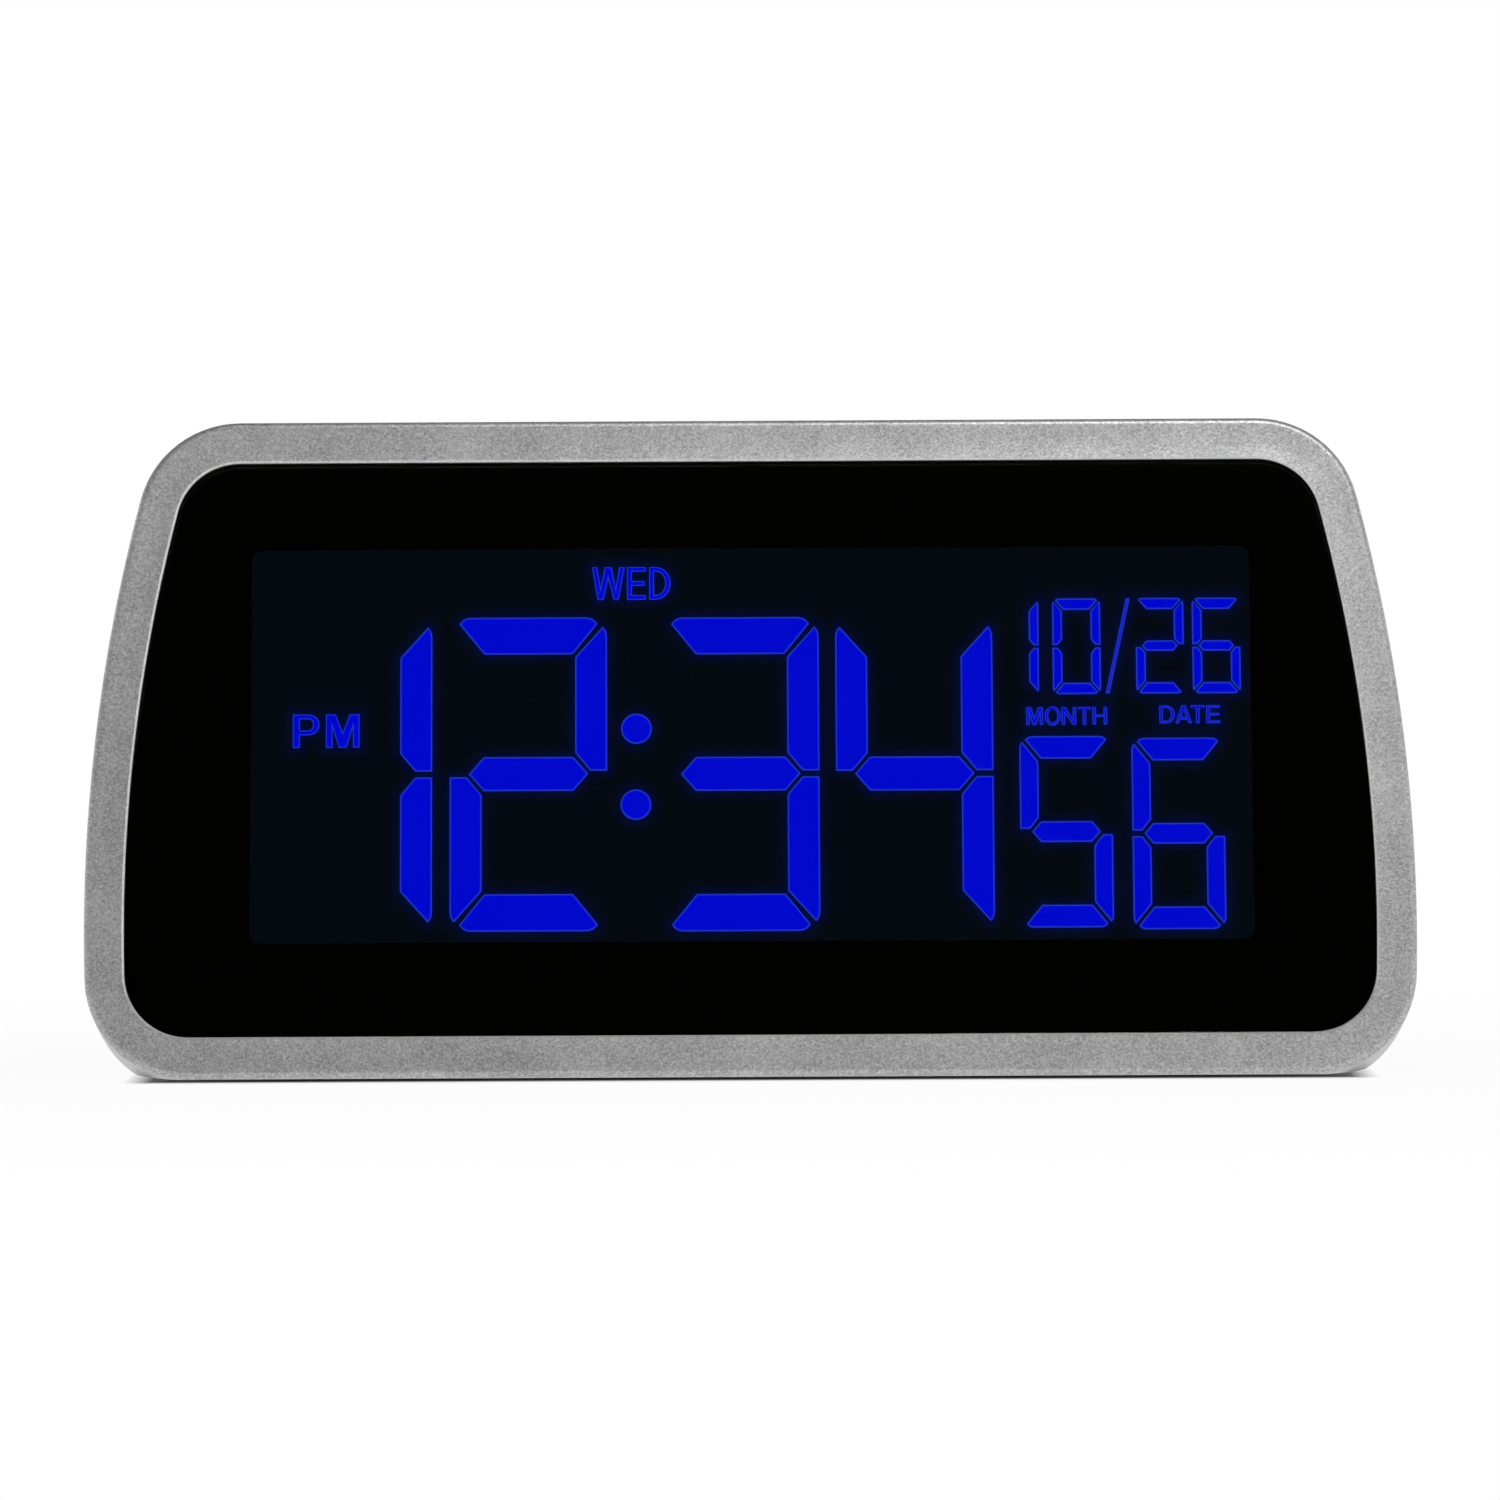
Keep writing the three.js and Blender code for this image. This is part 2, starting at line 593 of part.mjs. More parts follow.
// Strokes of the readout's capitals on a 0 to 1 cell; closed letters keep a small gap at one corner
const LETTER_STROKES = {
  A: [[0, 0, 0.5, 1], [0.5, 1, 1, 0], [0.25, 0.3, 0.5, 0.3]],
  D: [[0, 0.14, 0, 1], [0, 1, 0.6, 1], [0.6, 1, 1, 0.65], [1, 0.65, 1, 0.35], [1, 0.35, 0.6, 0],
    [0.6, 0, 0.3, 0]],
  E: [[0, 0, 0, 1], [0, 1, 1, 1], [0, 0.5, 0.85, 0.5], [0, 0, 1, 0]],
  H: [[0, 0, 0, 1], [1, 0, 1, 1], [0, 0.5, 1, 0.5]],
  M: [[0, 0, 0, 1], [0, 1, 0.5, 0.35], [0.5, 0.35, 1, 1], [1, 1, 1, 0]],
  N: [[0, 0, 0, 1], [0, 1, 1, 0], [1, 0, 1, 1]],
  O: [[0.3, 0, 0.7, 0], [0.7, 0, 1, 0.3], [1, 0.3, 1, 0.7], [1, 0.7, 0.7, 1], [0.7, 1, 0.3, 1],
    [0.3, 1, 0, 0.7], [0, 0.7, 0, 0.36]],
  P: [[0, 0, 0, 1], [0, 1, 0.7, 1], [0.7, 1, 1, 0.78], [1, 0.78, 0.7, 0.5], [0.7, 0.5, 0.42, 0.5]],
  T: [[0, 1, 1, 1], [0.5, 0, 0.5, 1]],
  W: [[0, 1, 0.25, 0], [0.25, 0, 0.5, 0.8], [0.5, 0.8, 0.75, 0], [0.75, 0, 1, 1]],
};
const LETTER_SPACE = 0.3; // gap between letters as a share of a letter's width

function strokeShape([x0, y0, x1, y1], cell, stroke, low, high, frame) {
  const from = new THREE.Vector2(cell.x + x0 * cell.width, cell.y + y0 * cell.height);
  const to = new THREE.Vector2(cell.x + x1 * cell.width, cell.y + y1 * cell.height);
  const along = to.clone().sub(from);
  const bar = new THREE.BoxGeometry(along.length() + stroke, stroke, high - low);
  bar.rotateZ(along.angle()).translate((from.x + to.x) / 2, (from.y + to.y) / 2, (low + high) / 2);
  return solid(bar, frame);
}

function wordShapes(text, { left, base, width, height, stroke }, low, high, frame) {
  const letters = [...text];
  const letterWidth = width / (letters.length + (letters.length - 1) * LETTER_SPACE);
  return letters.flatMap((letter, i) => {
    const cell = {
      x: left + i * letterWidth * (1 + LETTER_SPACE) + stroke / 2,
      y: base + stroke / 2,
      width: letterWidth - stroke,
      height: height - stroke,
    };
    return LETTER_STROKES[letter].map((line) => strokeShape(line, cell, stroke, low, high, frame));
  });
}

function buildDisplay() {
  const low = -lcdBack - CUT;
  const high = -lcdFront + CUT;
  // The readout is drawn from the window's lower left corner and stretched to fill the window
  const drawing = new THREE.Matrix4()
    .makeScale(windowWidth / READOUT.width, windowHeight / READOUT.height, 1)
    .setPosition(-windowWidth / 2, WINDOW_LOW, 0);
  const windows = [];
  const addDigit = (digit, size, right, base) => {
    const bars = digitBars(size.width, size.height);
    for (const name of LIT_BARS[digit]) {
      const outline = bars[name].map(([x, y]) => new THREE.Vector2(right - size.width + x, base + y));
      const turn = THREE.ShapeUtils.area(outline) < 0 ? outline.reverse() : outline;
      windows.push(prism(turn, low, high, drawing));
    }
  };
  addDigit(1, BIG_DIGIT, HOURS_UNITS_RIGHT - BIG_PAIR_PITCH, BIG_BASE);
  addDigit(2, BIG_DIGIT, HOURS_UNITS_RIGHT, BIG_BASE);
  addDigit(3, BIG_DIGIT, MINUTES_TENS_RIGHT, BIG_BASE);
  addDigit(4, BIG_DIGIT, MINUTES_TENS_RIGHT + BIG_PAIR_PITCH, BIG_BASE);
  addDigit(5, SMALL_DIGIT, SECONDS_TENS_RIGHT, SECONDS_BASE);
  addDigit(6, SMALL_DIGIT, SECONDS_TENS_RIGHT + SECONDS_PITCH, SECONDS_BASE);
  addDigit(1, DATE_DIGIT, MONTH_TENS_RIGHT, DATE_BASE);
  addDigit(0, DATE_DIGIT, MONTH_TENS_RIGHT + MONTH_PITCH, DATE_BASE);
  addDigit(2, DATE_DIGIT, DAY_TENS_RIGHT, DATE_BASE);
  addDigit(6, DATE_DIGIT, DAY_TENS_RIGHT + DAY_PITCH, DATE_BASE);
  for (const up of COLON_HEIGHTS) {
    windows.push(rod(COLON_X, up, COLON_RADIUS, low, high, drawing));
  }
  const slashLeft = MONTH_TENS_RIGHT + MONTH_PITCH + SLASH.gap;
  const slashRight = DAY_TENS_RIGHT - DATE_DIGIT.width - SLASH.gap;
  const slashTop = DATE_BASE + DATE_DIGIT.height;
  const slash = [
    [slashLeft, DATE_BASE], [slashLeft + SLASH.width, DATE_BASE],
    [slashRight, slashTop], [slashRight - SLASH.width, slashTop],
  ].map(([x, y]) => new THREE.Vector2(x, y));
  windows.push(prism(slash, low, high, drawing));
  for (const [text, word] of Object.entries({
    WED: WEEKDAY_WORD, PM: NOON_WORD, MONTH: MONTH_WORD, DATE: DATE_WORD,
  })) {
    windows.push(...wordShapes(text, word, low, high, drawing));
  }
  const cell = box(0, (lcdLow + lcdHigh) / 2, 2 * lcdHalfWidth, lcdHigh - lcdLow, -lcdBack, -lcdFront);
  place('lcd_panel', cell.subtract(join(windows)), displayBlack, FACE);
}

// Backlight, tray and rubber connector

function buildBacklight() {
  const middle = (guideLow + lcdHigh) / 2;
  const height = lcdHigh - guideLow;
  const width = 2 * guideHalfWidth;
  place('light_guide', box(0, middle, width, height, -guideBack, -guideFront), lightBlue, FACE);
  const sheet = box(0, middle, width, height, -reflectorBack, -reflectorFront);
  place('reflector_sheet', sheet, whitePlastic, FACE);

  for (const [name, side] of [['led_board_left', -1], ['led_board_right', 1]]) {
    const boardX = side * (lcdHalfWidth - LED_BOARD_THICKNESS / 2);
    const ledX = side * (lcdHalfWidth - LED_BOARD_THICKNESS - LED_HEIGHT / 2);
    let strip = box(boardX, middle, LED_BOARD_THICKNESS, height, -reflectorBack, -guideFront);
    for (let i = 0; i < LED_COUNT; i++) {
      const up = middle + (i - (LED_COUNT - 1) / 2) * LED_PITCH;
      strip = strip.add(
        box(ledX, up, LED_HEIGHT + FUSE, LED_LENGTH, -guideBack, -guideFront - LED_HEAD));
    }
    place(name, strip, whitePlastic, FACE);
  }

  const zebraLow = lcdLow + SEAT;
  const zebraMiddle = zebraLow + ZEBRA_THICKNESS / 2;
  const zebraWidth = windowWidth - 2 * ZEBRA_END;
  const zebraHole = box(0, zebraMiddle, zebraWidth + 2 * SIDE_FIT, ZEBRA_THICKNESS + 2 * SIDE_FIT,
    -holderBack - CUT, 0);
  const tray = box(0, (holderLow + holderHigh) / 2, 2 * holderHalf, holderHigh - holderLow,
    -holderBack, -plateBack - SEAT)
    .subtract(box(0, (lcdLow + lcdHigh) / 2, 2 * (lcdHalfWidth + SIDE_FIT),
      lcdHigh - lcdLow + 2 * SIDE_FIT, -guideFront, 0))
    .subtract(box(0, (guideLow + lcdHigh) / 2, 2 * (lcdHalfWidth + SIDE_FIT),
      height + 2 * SIDE_FIT, -holderFloor, 0))
    .subtract(zebraHole);
  place('lcd_holder', tray, whitePlastic, FACE);

  const zebra = box(0, zebraMiddle, zebraWidth, ZEBRA_THICKNESS, SEAT - mainBoardFront, -lcdBack - SEAT);
  place('zebra_strip', zebra, darkRubber, FACE);
}

// Main board

function buildMainBoard() {
  let board = box(0, (MAIN_BOARD_LOW + mainBoardHigh) / 2, 2 * mainBoardHalf,
    mainBoardHigh - MAIN_BOARD_LOW, -mainBoardBack, -mainBoardFront);
  // Its sides are notched where the case screws' posts pass
  for (const { x, z } of caseScrewPlaces) {
    const up = heightUpFace(z, (mainBoardFront + mainBoardBack) / 2);
    const reach = wellRadius + 2 * SEAT;
    const inner = Math.abs(x) - reach;
    const outer = mainBoardHalf + CUT;
    board = board.subtract(box(Math.sign(x) * (inner + outer) / 2, up, outer - inner, 2 * reach,
      -mainBoardBack - CUT, -mainBoardFront + CUT));
  }
  for (const side of [-1, 1]) {
    for (const up of boardScrewHeights) {
      const x = side * boardScrewX;
      board = board.subtract(
        rod(x, up, BOARD_SCREW.shank + SIDE_FIT, -mainBoardBack - CUT, -mainBoardFront + CUT));
    }
  }
  place('main_board', board, boardGreen, FACE);

  const chipFront = mainBoardBack + SEAT;
  const chip = box(CHIP.x, CHIP.up, CHIP.size, CHIP.size, -chipFront - CHIP.height, -chipFront);
  place('controller_chip', chip, chipBlack, FACE);
  const can = crossRod(CRYSTAL.up, -chipFront - CRYSTAL.radius, CRYSTAL.radius,
    CRYSTAL.x - CRYSTAL.length / 2, CRYSTAL.x + CRYSTAL.length / 2);
  place('crystal_can', can, brightMetal, FACE);

  const facingBack = new THREE.Matrix4().makeRotationX(Math.PI);
  let number = 0;
  for (const side of [-1, 1]) {
    for (const up of boardScrewHeights) {
      number += 1;
      const spot = new THREE.Matrix4().makeTranslation(side * boardScrewX, up, -mainBoardBack - SEAT);
      placeScrew(`board_screw_${number}`, BOARD_SCREW, FACE.clone().multiply(spot).multiply(facingBack),
        0, 0, 0);
    }
  }
}

// Rear case

// Depth of the back wall and of the case's front edge at a given height
function backDepth(z) {
  return CASE_DEPTH - (z - caseFoot) * Math.tan(BACK_LEAN);
}

// One ring of the case: the face outline drawn in, carried level to the given depth
function caseRing(insets, depthAt) {
  return faceOutline(insets).map((p) => {
    const z = FACE_FOOT + p.y * cosTilt - caseFront * sinTilt;
    return new THREE.Vector3(p.x, depthAt(z), z);
  });
}

// The case's form, drawn in by a wall: ruled from the front edge to the back, whose edges are rounded.
// Its top runs square to the face.
function caseForm(wall, frontReach) {
  const side = CASE_STEP + wall;
  const foot = heightUpFace(caseFoot, caseFront) + wall / cosTilt;
  const round = REAR_ROUND - wall;
  const depthBehind = CASE_DEPTH - wall / Math.cos(BACK_LEAN);
  const topZ = FACE_FOOT + (FACE_HEIGHT - side) * cosTilt - caseFront * sinTilt;
  const topY = depthAtLevel(topZ, caseFront);
  const lean = Math.tan(BACK_LEAN);
  const tilt = Math.tan(FACE_TILT);
  const backTopZ = (topZ - (depthBehind + caseFoot * lean - round - topY) * tilt) / (1 - lean * tilt);
  const topInset = side + (topZ - backTopZ) / cosTilt;
  const backAt = (z) => backDepth(z) - wall / Math.cos(BACK_LEAN);
  const rings = quarterTurns(ROUND_STEPS).map((turn) => {
    const draw = round * (1 - Math.cos(turn));
    const insets = {
      side: side + SIDE_TAPER + draw,
      top: topInset + draw,
      foot: foot + draw,
      topCorner: TOP_CORNER - CASE_STEP - wall - draw / 2,
      footCorner: BOTTOM_CORNER - CASE_STEP - wall - draw / 2,
    };
    return caseRing(insets, (z) => backAt(z) - round * (1 - Math.sin(turn)));
  });
  const frontInsets = { side, top: side, foot };
  rings.unshift(caseRing(frontInsets, (z) => depthAtLevel(z, caseFront) - frontReach));
  return solid(loftGeometry(rings.reverse()));
}

function lipPrism(inset, low, high) {
  const foot = heightUpFace(UNDERSIDE + inset, BEZEL_DEPTH);
  return prism(faceOutline({ side: inset, foot }), low, high, FACE);
}

function spaced(count, pitch) {
  return Array.from({ length: count }, (_, i) => (i - (count - 1) / 2) * pitch);
}

const buttonXs = spaced(BUTTON_NAMES.length, BUTTON_PITCH);
const slideSlot = (travel) => SLIDE_KNOB.length + travel + 2 * SIDE_FIT;

// Depths into the case of the button stack, shared by the row on the back and by the snooze bar
const flangeFront = CASE_WALL + SEAT;
const switchFront = flangeFront + FLANGE + Math.max(BUTTON_TRAVEL, SNOOZE_TRAVEL) + SEAT;
const switchBack = switchFront + SWITCH_HEIGHT;
const keyBoardFront = switchBack + SEAT;
const keyBoardBack = keyBoardFront + BOARD_THICKNESS;
const snoozePostX = SNOOZE_LENGTH / 2 + SNOOZE_EAR + SIDE_FIT + POST_RADIUS + CUT;

function screwPost(x, y, frame) {
  return rod(x, y, POST_RADIUS, CASE_WALL / 2, keyBoardFront - SEAT, frame);
}

function screwPilot(x, y, frame) {
  return rod(x, y, BOARD_SCREW.shank + THREAD_GAP, CASE_WALL + CUT, keyBoardFront, frame);
}

function buildRearCase() {
  const outer = caseForm(0, 0);
  const lipOuter = BEZEL_WALL + SIDE_FIT;
  const lip = lipPrism(lipOuter, -caseFront - CUT, LIP_LENGTH - caseFront);
  const shell = outer.add(lip)
    .subtract(caseForm(CASE_WALL, CUT))
    .subtract(lipPrism(CASE_STEP + CASE_WALL, -caseFront - CUT, 0));

  const inside = [];
  const holes = [];

  // Screw wells that reach forward to the frame's posts
  for (const { x, z } of caseScrewPlaces) {
    const joint = postJoint(z) + SEAT;
    const seat = joint + SCREW_FLOOR;
    inside.push(rod(x, z, wellRadius, -CASE_DEPTH, -joint, LEVEL));
    holes.push(rod(x, z, CASE_SCREW.head + SIDE_FIT, -CASE_DEPTH - CUT, -seat, LEVEL));
    holes.push(rod(x, z, CASE_SCREW.shank + SIDE_FIT, -seat - CUT, -joint + CUT, LEVEL));
  }

  // Battery bay with the door's recess
  const bayMiddle = BAY_LOW + bayHeight / 2;
  inside.push(box(0, bayMiddle, bayLength + 2 * BAY_WALL, bayHeight + 2 * BAY_WALL,
    CASE_WALL / 2, bayFloor + BAY_WALL, BACK));
  holes.push(box(0, bayMiddle, bayLength, bayHeight, -CUT, bayFloor, BACK));
  holes.push(box(0, bayMiddle, bayLength + 2 * DOOR_SEAT, bayHeight + 2 * DOOR_SEAT,
    -CUT, DOOR_THICKNESS + SEAT, BACK));
  const pinReach = doorHalfWidth + DOOR_PIN.length + SEAT;
  holes.push(crossRod(doorHinge, DOOR_THICKNESS / 2, DOOR_PIN.radius + DOOR_PIN_FIT,
    -pinReach, pinReach, BACK));

  // Key row: posts for the board, holes for the buttons and the slide knobs
  for (const x of [-KEY_POST_X, KEY_POST_X]) {
    inside.push(screwPost(x, rowHeight, BACK));
    holes.push(screwPilot(x, rowHeight, BACK));
  }
  for (const x of buttonXs) {
    const hole = pillOutline(x, rowHeight, BUTTON_LENGTH + 2 * SIDE_FIT, BUTTON_WIDTH + 2 * SIDE_FIT);
    holes.push(prism(hole, -CUT, CASE_WALL + CUT, BACK));
  }
  holes.push(box(-SLIDE_X, rowHeight, slideSlot(ALARM_TRAVEL), SLIDE_KNOB.width + 2 * SIDE_FIT,
    -CUT, CASE_WALL + CUT, BACK));
  holes.push(box(SLIDE_X, rowHeight, slideSlot(2 * DIMMER_TRAVEL), SLIDE_KNOB.width + 2 * SIDE_FIT,
    -CUT, CASE_WALL + CUT, BACK));

  // Snooze slot in the top wall and the posts of its board
  holes.push(prism(roundedRect(0, 0, SNOOZE_LENGTH + 2 * SIDE_FIT, SNOOZE_WIDTH + 2 * SIDE_FIT,
    SNOOZE_WIDTH / 2), -CUT, CASE_WALL + CUT, TOP));
  for (const x of [-snoozePostX, snoozePostX]) {
    inside.push(screwPost(x, 0, TOP));
    holes.push(screwPilot(x, 0, TOP));
  }

  // Sounder collar and its slots
  inside.push(rod(BUZZER.x, BUZZER.up, BUZZER.radius + SIDE_FIT + BUZZER_COLLAR,
    CASE_WALL / 2, CASE_WALL + BUZZER.height, BACK, LARGE_CIRCLE));
  holes.push(rod(BUZZER.x, BUZZER.up, BUZZER.radius + SIDE_FIT,
    CASE_WALL, CASE_WALL + BUZZER.height + CUT, BACK, LARGE_CIRCLE));
  for (const up of spaced(SOUND_SLOT.count, SOUND_SLOT.pitch)) {
    const slot = pillOutline(BUZZER.x, BUZZER.up + up, SOUND_SLOT.length, SOUND_SLOT.width);
    holes.push(prism(slot, -CUT, CASE_WALL + CUT, BACK));
  }

  // Socket hole and foot recesses
  holes.push(rod(JACK.x, JACK.up, JACK.barrel + SIDE_FIT, -CUT, CASE_WALL + CUT, BACK));
  for (const x of [-FOOT_X, FOOT_X]) {
    for (const y of [FOOT_FRONT, FOOT_REAR]) {
      holes.push(rod(x, y, FOOT_RADIUS + SIDE_FIT, 0, caseFoot + FOOT_RECESS, WORLD, LARGE_CIRCLE));
    }
  }

  const fitted = join(inside).intersect(outer);
  place('rear_case', shell.add(fitted).subtract(join(holes)), casePlastic);
}

function buildFeet() {
  let number = 0;
  for (const y of [FOOT_FRONT, FOOT_REAR]) {
    for (const x of [-FOOT_X, FOOT_X]) {
      number += 1;
      const top = caseFoot + FOOT_RECESS - SEAT;
      const profile = [
        [0, 0], [FOOT_RADIUS - FOOT_EDGE, 0], [FOOT_RADIUS, FOOT_EDGE], [FOOT_RADIUS, top], [0, top],
      ].map(([r, h]) => new THREE.Vector2(r, h));
      const pad = new THREE.LatheGeometry(profile, LARGE_CIRCLE).rotateX(Math.PI / 2);
      place(`foot_${number}`, solid(pad.translate(x, y, 0)), darkRubber);
    }
  }
}

function buildCaseScrews() {
  const facingBack = new THREE.Matrix4().makeRotationX(-Math.PI / 2);
  caseScrewPlaces.forEach(({ x, z }, i) => {
    const seat = postJoint(z) + SEAT + SCREW_FLOOR + SEAT;
    const spot = new THREE.Matrix4().makeTranslation(x, seat, z);
    placeScrew(`case_screw_${i + 1}`, CASE_SCREW, spot.multiply(facingBack), 0, 0, 0);
  });
}

// Buttons, snooze bar and slide knobs

// A push switch: a square housing with a round well for the button's stem
function pushSwitch(x, y) {
  return box(x, y, SWITCH_SIZE, SWITCH_SIZE, switchFront, switchBack)
    .subtract(rod(x, y, STEM_RADIUS + SIDE_FIT, switchFront - CUT, switchBack - CUT));
}

const stemEnd = switchFront + CUT;

// A pill-shaped cap with a chamfered top, from its proud face down to a given depth
function pillCap(x, y, length, width, edge, proud, depth, steps) {
  const side = pillOutline(x, y, length, width, steps);
  const crown = pillOutline(x, y, length - 2 * edge, width - 2 * edge, steps);
  return solid(loftGeometry([raise(crown, -proud), raise(side, edge - proud), raise(side, depth)]));
}

function pressButton(x) {
  const cap = pillCap(x, rowHeight, BUTTON_LENGTH, BUTTON_WIDTH, BUTTON_EDGE, BUTTON_PROUD,
    flangeFront + FUSE, ROUND_STEPS);
  const flange = roundedRect(x, rowHeight, BUTTON_LENGTH + 2 * FLANGE_RIM, BUTTON_WIDTH + 2 * FLANGE_RIM,
    BUTTON_WIDTH / 2);
  return cap
    .add(prism(flange, flangeFront, flangeFront + FLANGE))
    .add(rod(x, rowHeight, STEM_RADIUS, flangeFront, stemEnd));
}

function buildKeyRow() {
  buttonXs.forEach((x, i) => {
    place(`${BUTTON_NAMES[i]}_button`, pressButton(x), buttonPlastic, BACK);
    place(`push_switch_${i + 1}`, pushSwitch(x, rowHeight), chipBlack, BACK);
  });

  const slides = [
    { name: 'alarm', middle: -SLIDE_X, travel: ALARM_TRAVEL, rest: -SLIDE_X - ALARM_TRAVEL / 2 },
    { name: 'dimmer', middle: SLIDE_X, travel: 2 * DIMMER_TRAVEL, rest: SLIDE_X },
  ];
  for (const { name, middle, travel, rest } of slides) {
    const cover = slideSlot(travel) + travel;
    const knob = box(rest, rowHeight, SLIDE_KNOB.length, SLIDE_KNOB.width,
      -SLIDE_KNOB.proud, flangeFront + FUSE)
      .add(box(rest, rowHeight, SLIDE_STEM.length + travel, SLIDE_KNOB.width + 2 * FLANGE_RIM,
        flangeFront, flangeFront + FLANGE))
      .add(box(rest, rowHeight, SLIDE_STEM.length, SLIDE_STEM.width, flangeFront, stemEnd));
    const { groove } = SLIDE_KNOB;
    const grooves = spaced(2, SLIDE_KNOB.length / 3).map((offset) => (
      box(rest + offset, rowHeight, groove, SLIDE_KNOB.width + CUT, -SLIDE_KNOB.proud - CUT,
        groove - SLIDE_KNOB.proud)));
    place(`${name}_switch_knob`, knob.subtract(join(grooves)), whitePlastic, BACK);
    const well = box(middle, rowHeight, SLIDE_STEM.length + travel + 2 * SIDE_FIT,
      SLIDE_STEM.width + 2 * SIDE_FIT, switchFront - CUT, switchBack - CUT);
    const housing = box(middle, rowHeight, Math.max(SLIDE_BODY.length, cover), SLIDE_BODY.width,
      switchFront, switchBack).subtract(well);
    place(`${name}_switch_body`, housing, brightMetal, BACK);
  }

  let board = box(0, rowHeight, 2 * KEY_BOARD_HALF.length, 2 * KEY_BOARD_HALF.width,
    keyBoardFront, keyBoardBack);
  [-KEY_POST_X, KEY_POST_X].forEach((x, i) => {
    board = board.subtract(rod(x, rowHeight, BOARD_SCREW.shank + SIDE_FIT,
      keyBoardFront - CUT, keyBoardBack + CUT));
    placeScrew(`key_board_screw_${i + 1}`, BOARD_SCREW, BACK, x, rowHeight, keyBoardBack + SEAT);
  });
  place('key_board', board, boardGreen, BACK);
}

function buildSnooze() {
  const earsBack = flangeFront + FLANGE;
  const cap = pillCap(0, 0, SNOOZE_LENGTH, SNOOZE_WIDTH, SNOOZE_EDGE, SNOOZE_PROUD, earsBack,
    2 * ROUND_STEPS);
  const ears = box(0, 0, SNOOZE_LENGTH + 2 * SNOOZE_EAR, SNOOZE_WIDTH / 2, flangeFront, earsBack);
  const bar = cap.add(ears).add(rod(0, 0, STEM_RADIUS, flangeFront, stemEnd));
  place('snooze_bar', bar, silverPaint, TOP);

  place('snooze_switch', pushSwitch(0, 0), chipBlack, TOP);
  let board = box(0, 0, 2 * (snoozePostX + POST_RADIUS + CUT), SWITCH_SIZE + 2 * CUT,
    keyBoardFront, keyBoardBack);
  [-snoozePostX, snoozePostX].forEach((x, i) => {
    board = board.subtract(rod(x, 0, BOARD_SCREW.shank + SIDE_FIT,
      keyBoardFront - CUT, keyBoardBack + CUT));
    placeScrew(`snooze_screw_${i + 1}`, BOARD_SCREW, TOP, x, 0, keyBoardBack + SEAT);
  });
  place('snooze_board', board, boardGreen, TOP);
}

// Battery door, cells and contacts

function buildDoor() {
  const middle = (doorHinge + doorTop) / 2;
  const half = DOOR_THICKNESS / 2;
  const slots = [-1, 1].map((side) => (
    box(side * (LATCH.width / 2), doorTop - LATCH.depth / 2, LATCH.slot, LATCH.depth + CUT,
      -CUT, DOOR_THICKNESS + CUT)));
  const grips = Array.from({ length: GRIP.count }, (_, i) => (
    box(0, doorTop - CUT - (i + 0.5) * GRIP.pitch, GRIP.length, GRIP.width, -GRIP.height, half)));
  const door = box(0, middle, 2 * doorHalfWidth, doorTop - doorHinge, 0, DOOR_THICKNESS)
    .add(crossRod(doorHinge, half, half, -doorHalfWidth, doorHalfWidth))
    .add(crossRod(doorHinge, half, DOOR_PIN.radius, -doorHalfWidth - DOOR_PIN.length,
      doorHalfWidth + DOOR_PIN.length))
    .subtract(join(slots))
    .add(join(grips));
  place('battery_door', door, casePlastic, BACK);
}

// A tapering coil along x from its wide end, as one tube, with the least gap between its turns
function coil({ length, wire, wide, narrow, turns }) {
  const rings = [];
  const centres = [];
  const steps = turns * SPRING_STEPS;
  for (let i = 0; i <= steps; i++) {
    const share = i / steps;
    const angle = share * turns * 2 * Math.PI;
    const radius = wide + (narrow - wide) * share - wire / 2;
    const outward = new THREE.Vector3(0, Math.cos(angle), Math.sin(angle));
    const centre = outward.clone().multiplyScalar(radius);
    centre.x = wire / 2 + share * (length - wire);
    centres.push(centre);
    const ring = [];
    for (let s = 0; s < SPRING_SIDES; s++) {
      const around = (2 * Math.PI * s) / SPRING_SIDES;
      const point = centre.clone().addScaledVector(outward, (wire / 2) * Math.cos(around));
      point.x -= (wire / 2) * Math.sin(around);
      ring.push(point);
    }
    rings.push(ring);
  }
  let gap = Infinity;
  for (let i = 0; i + SPRING_STEPS <= steps; i++) {
    gap = Math.min(gap, centres[i].distanceTo(centres[i + SPRING_STEPS]) - wire);
  }
  return { shape: solid(loftGeometry(rings)), gap };
}

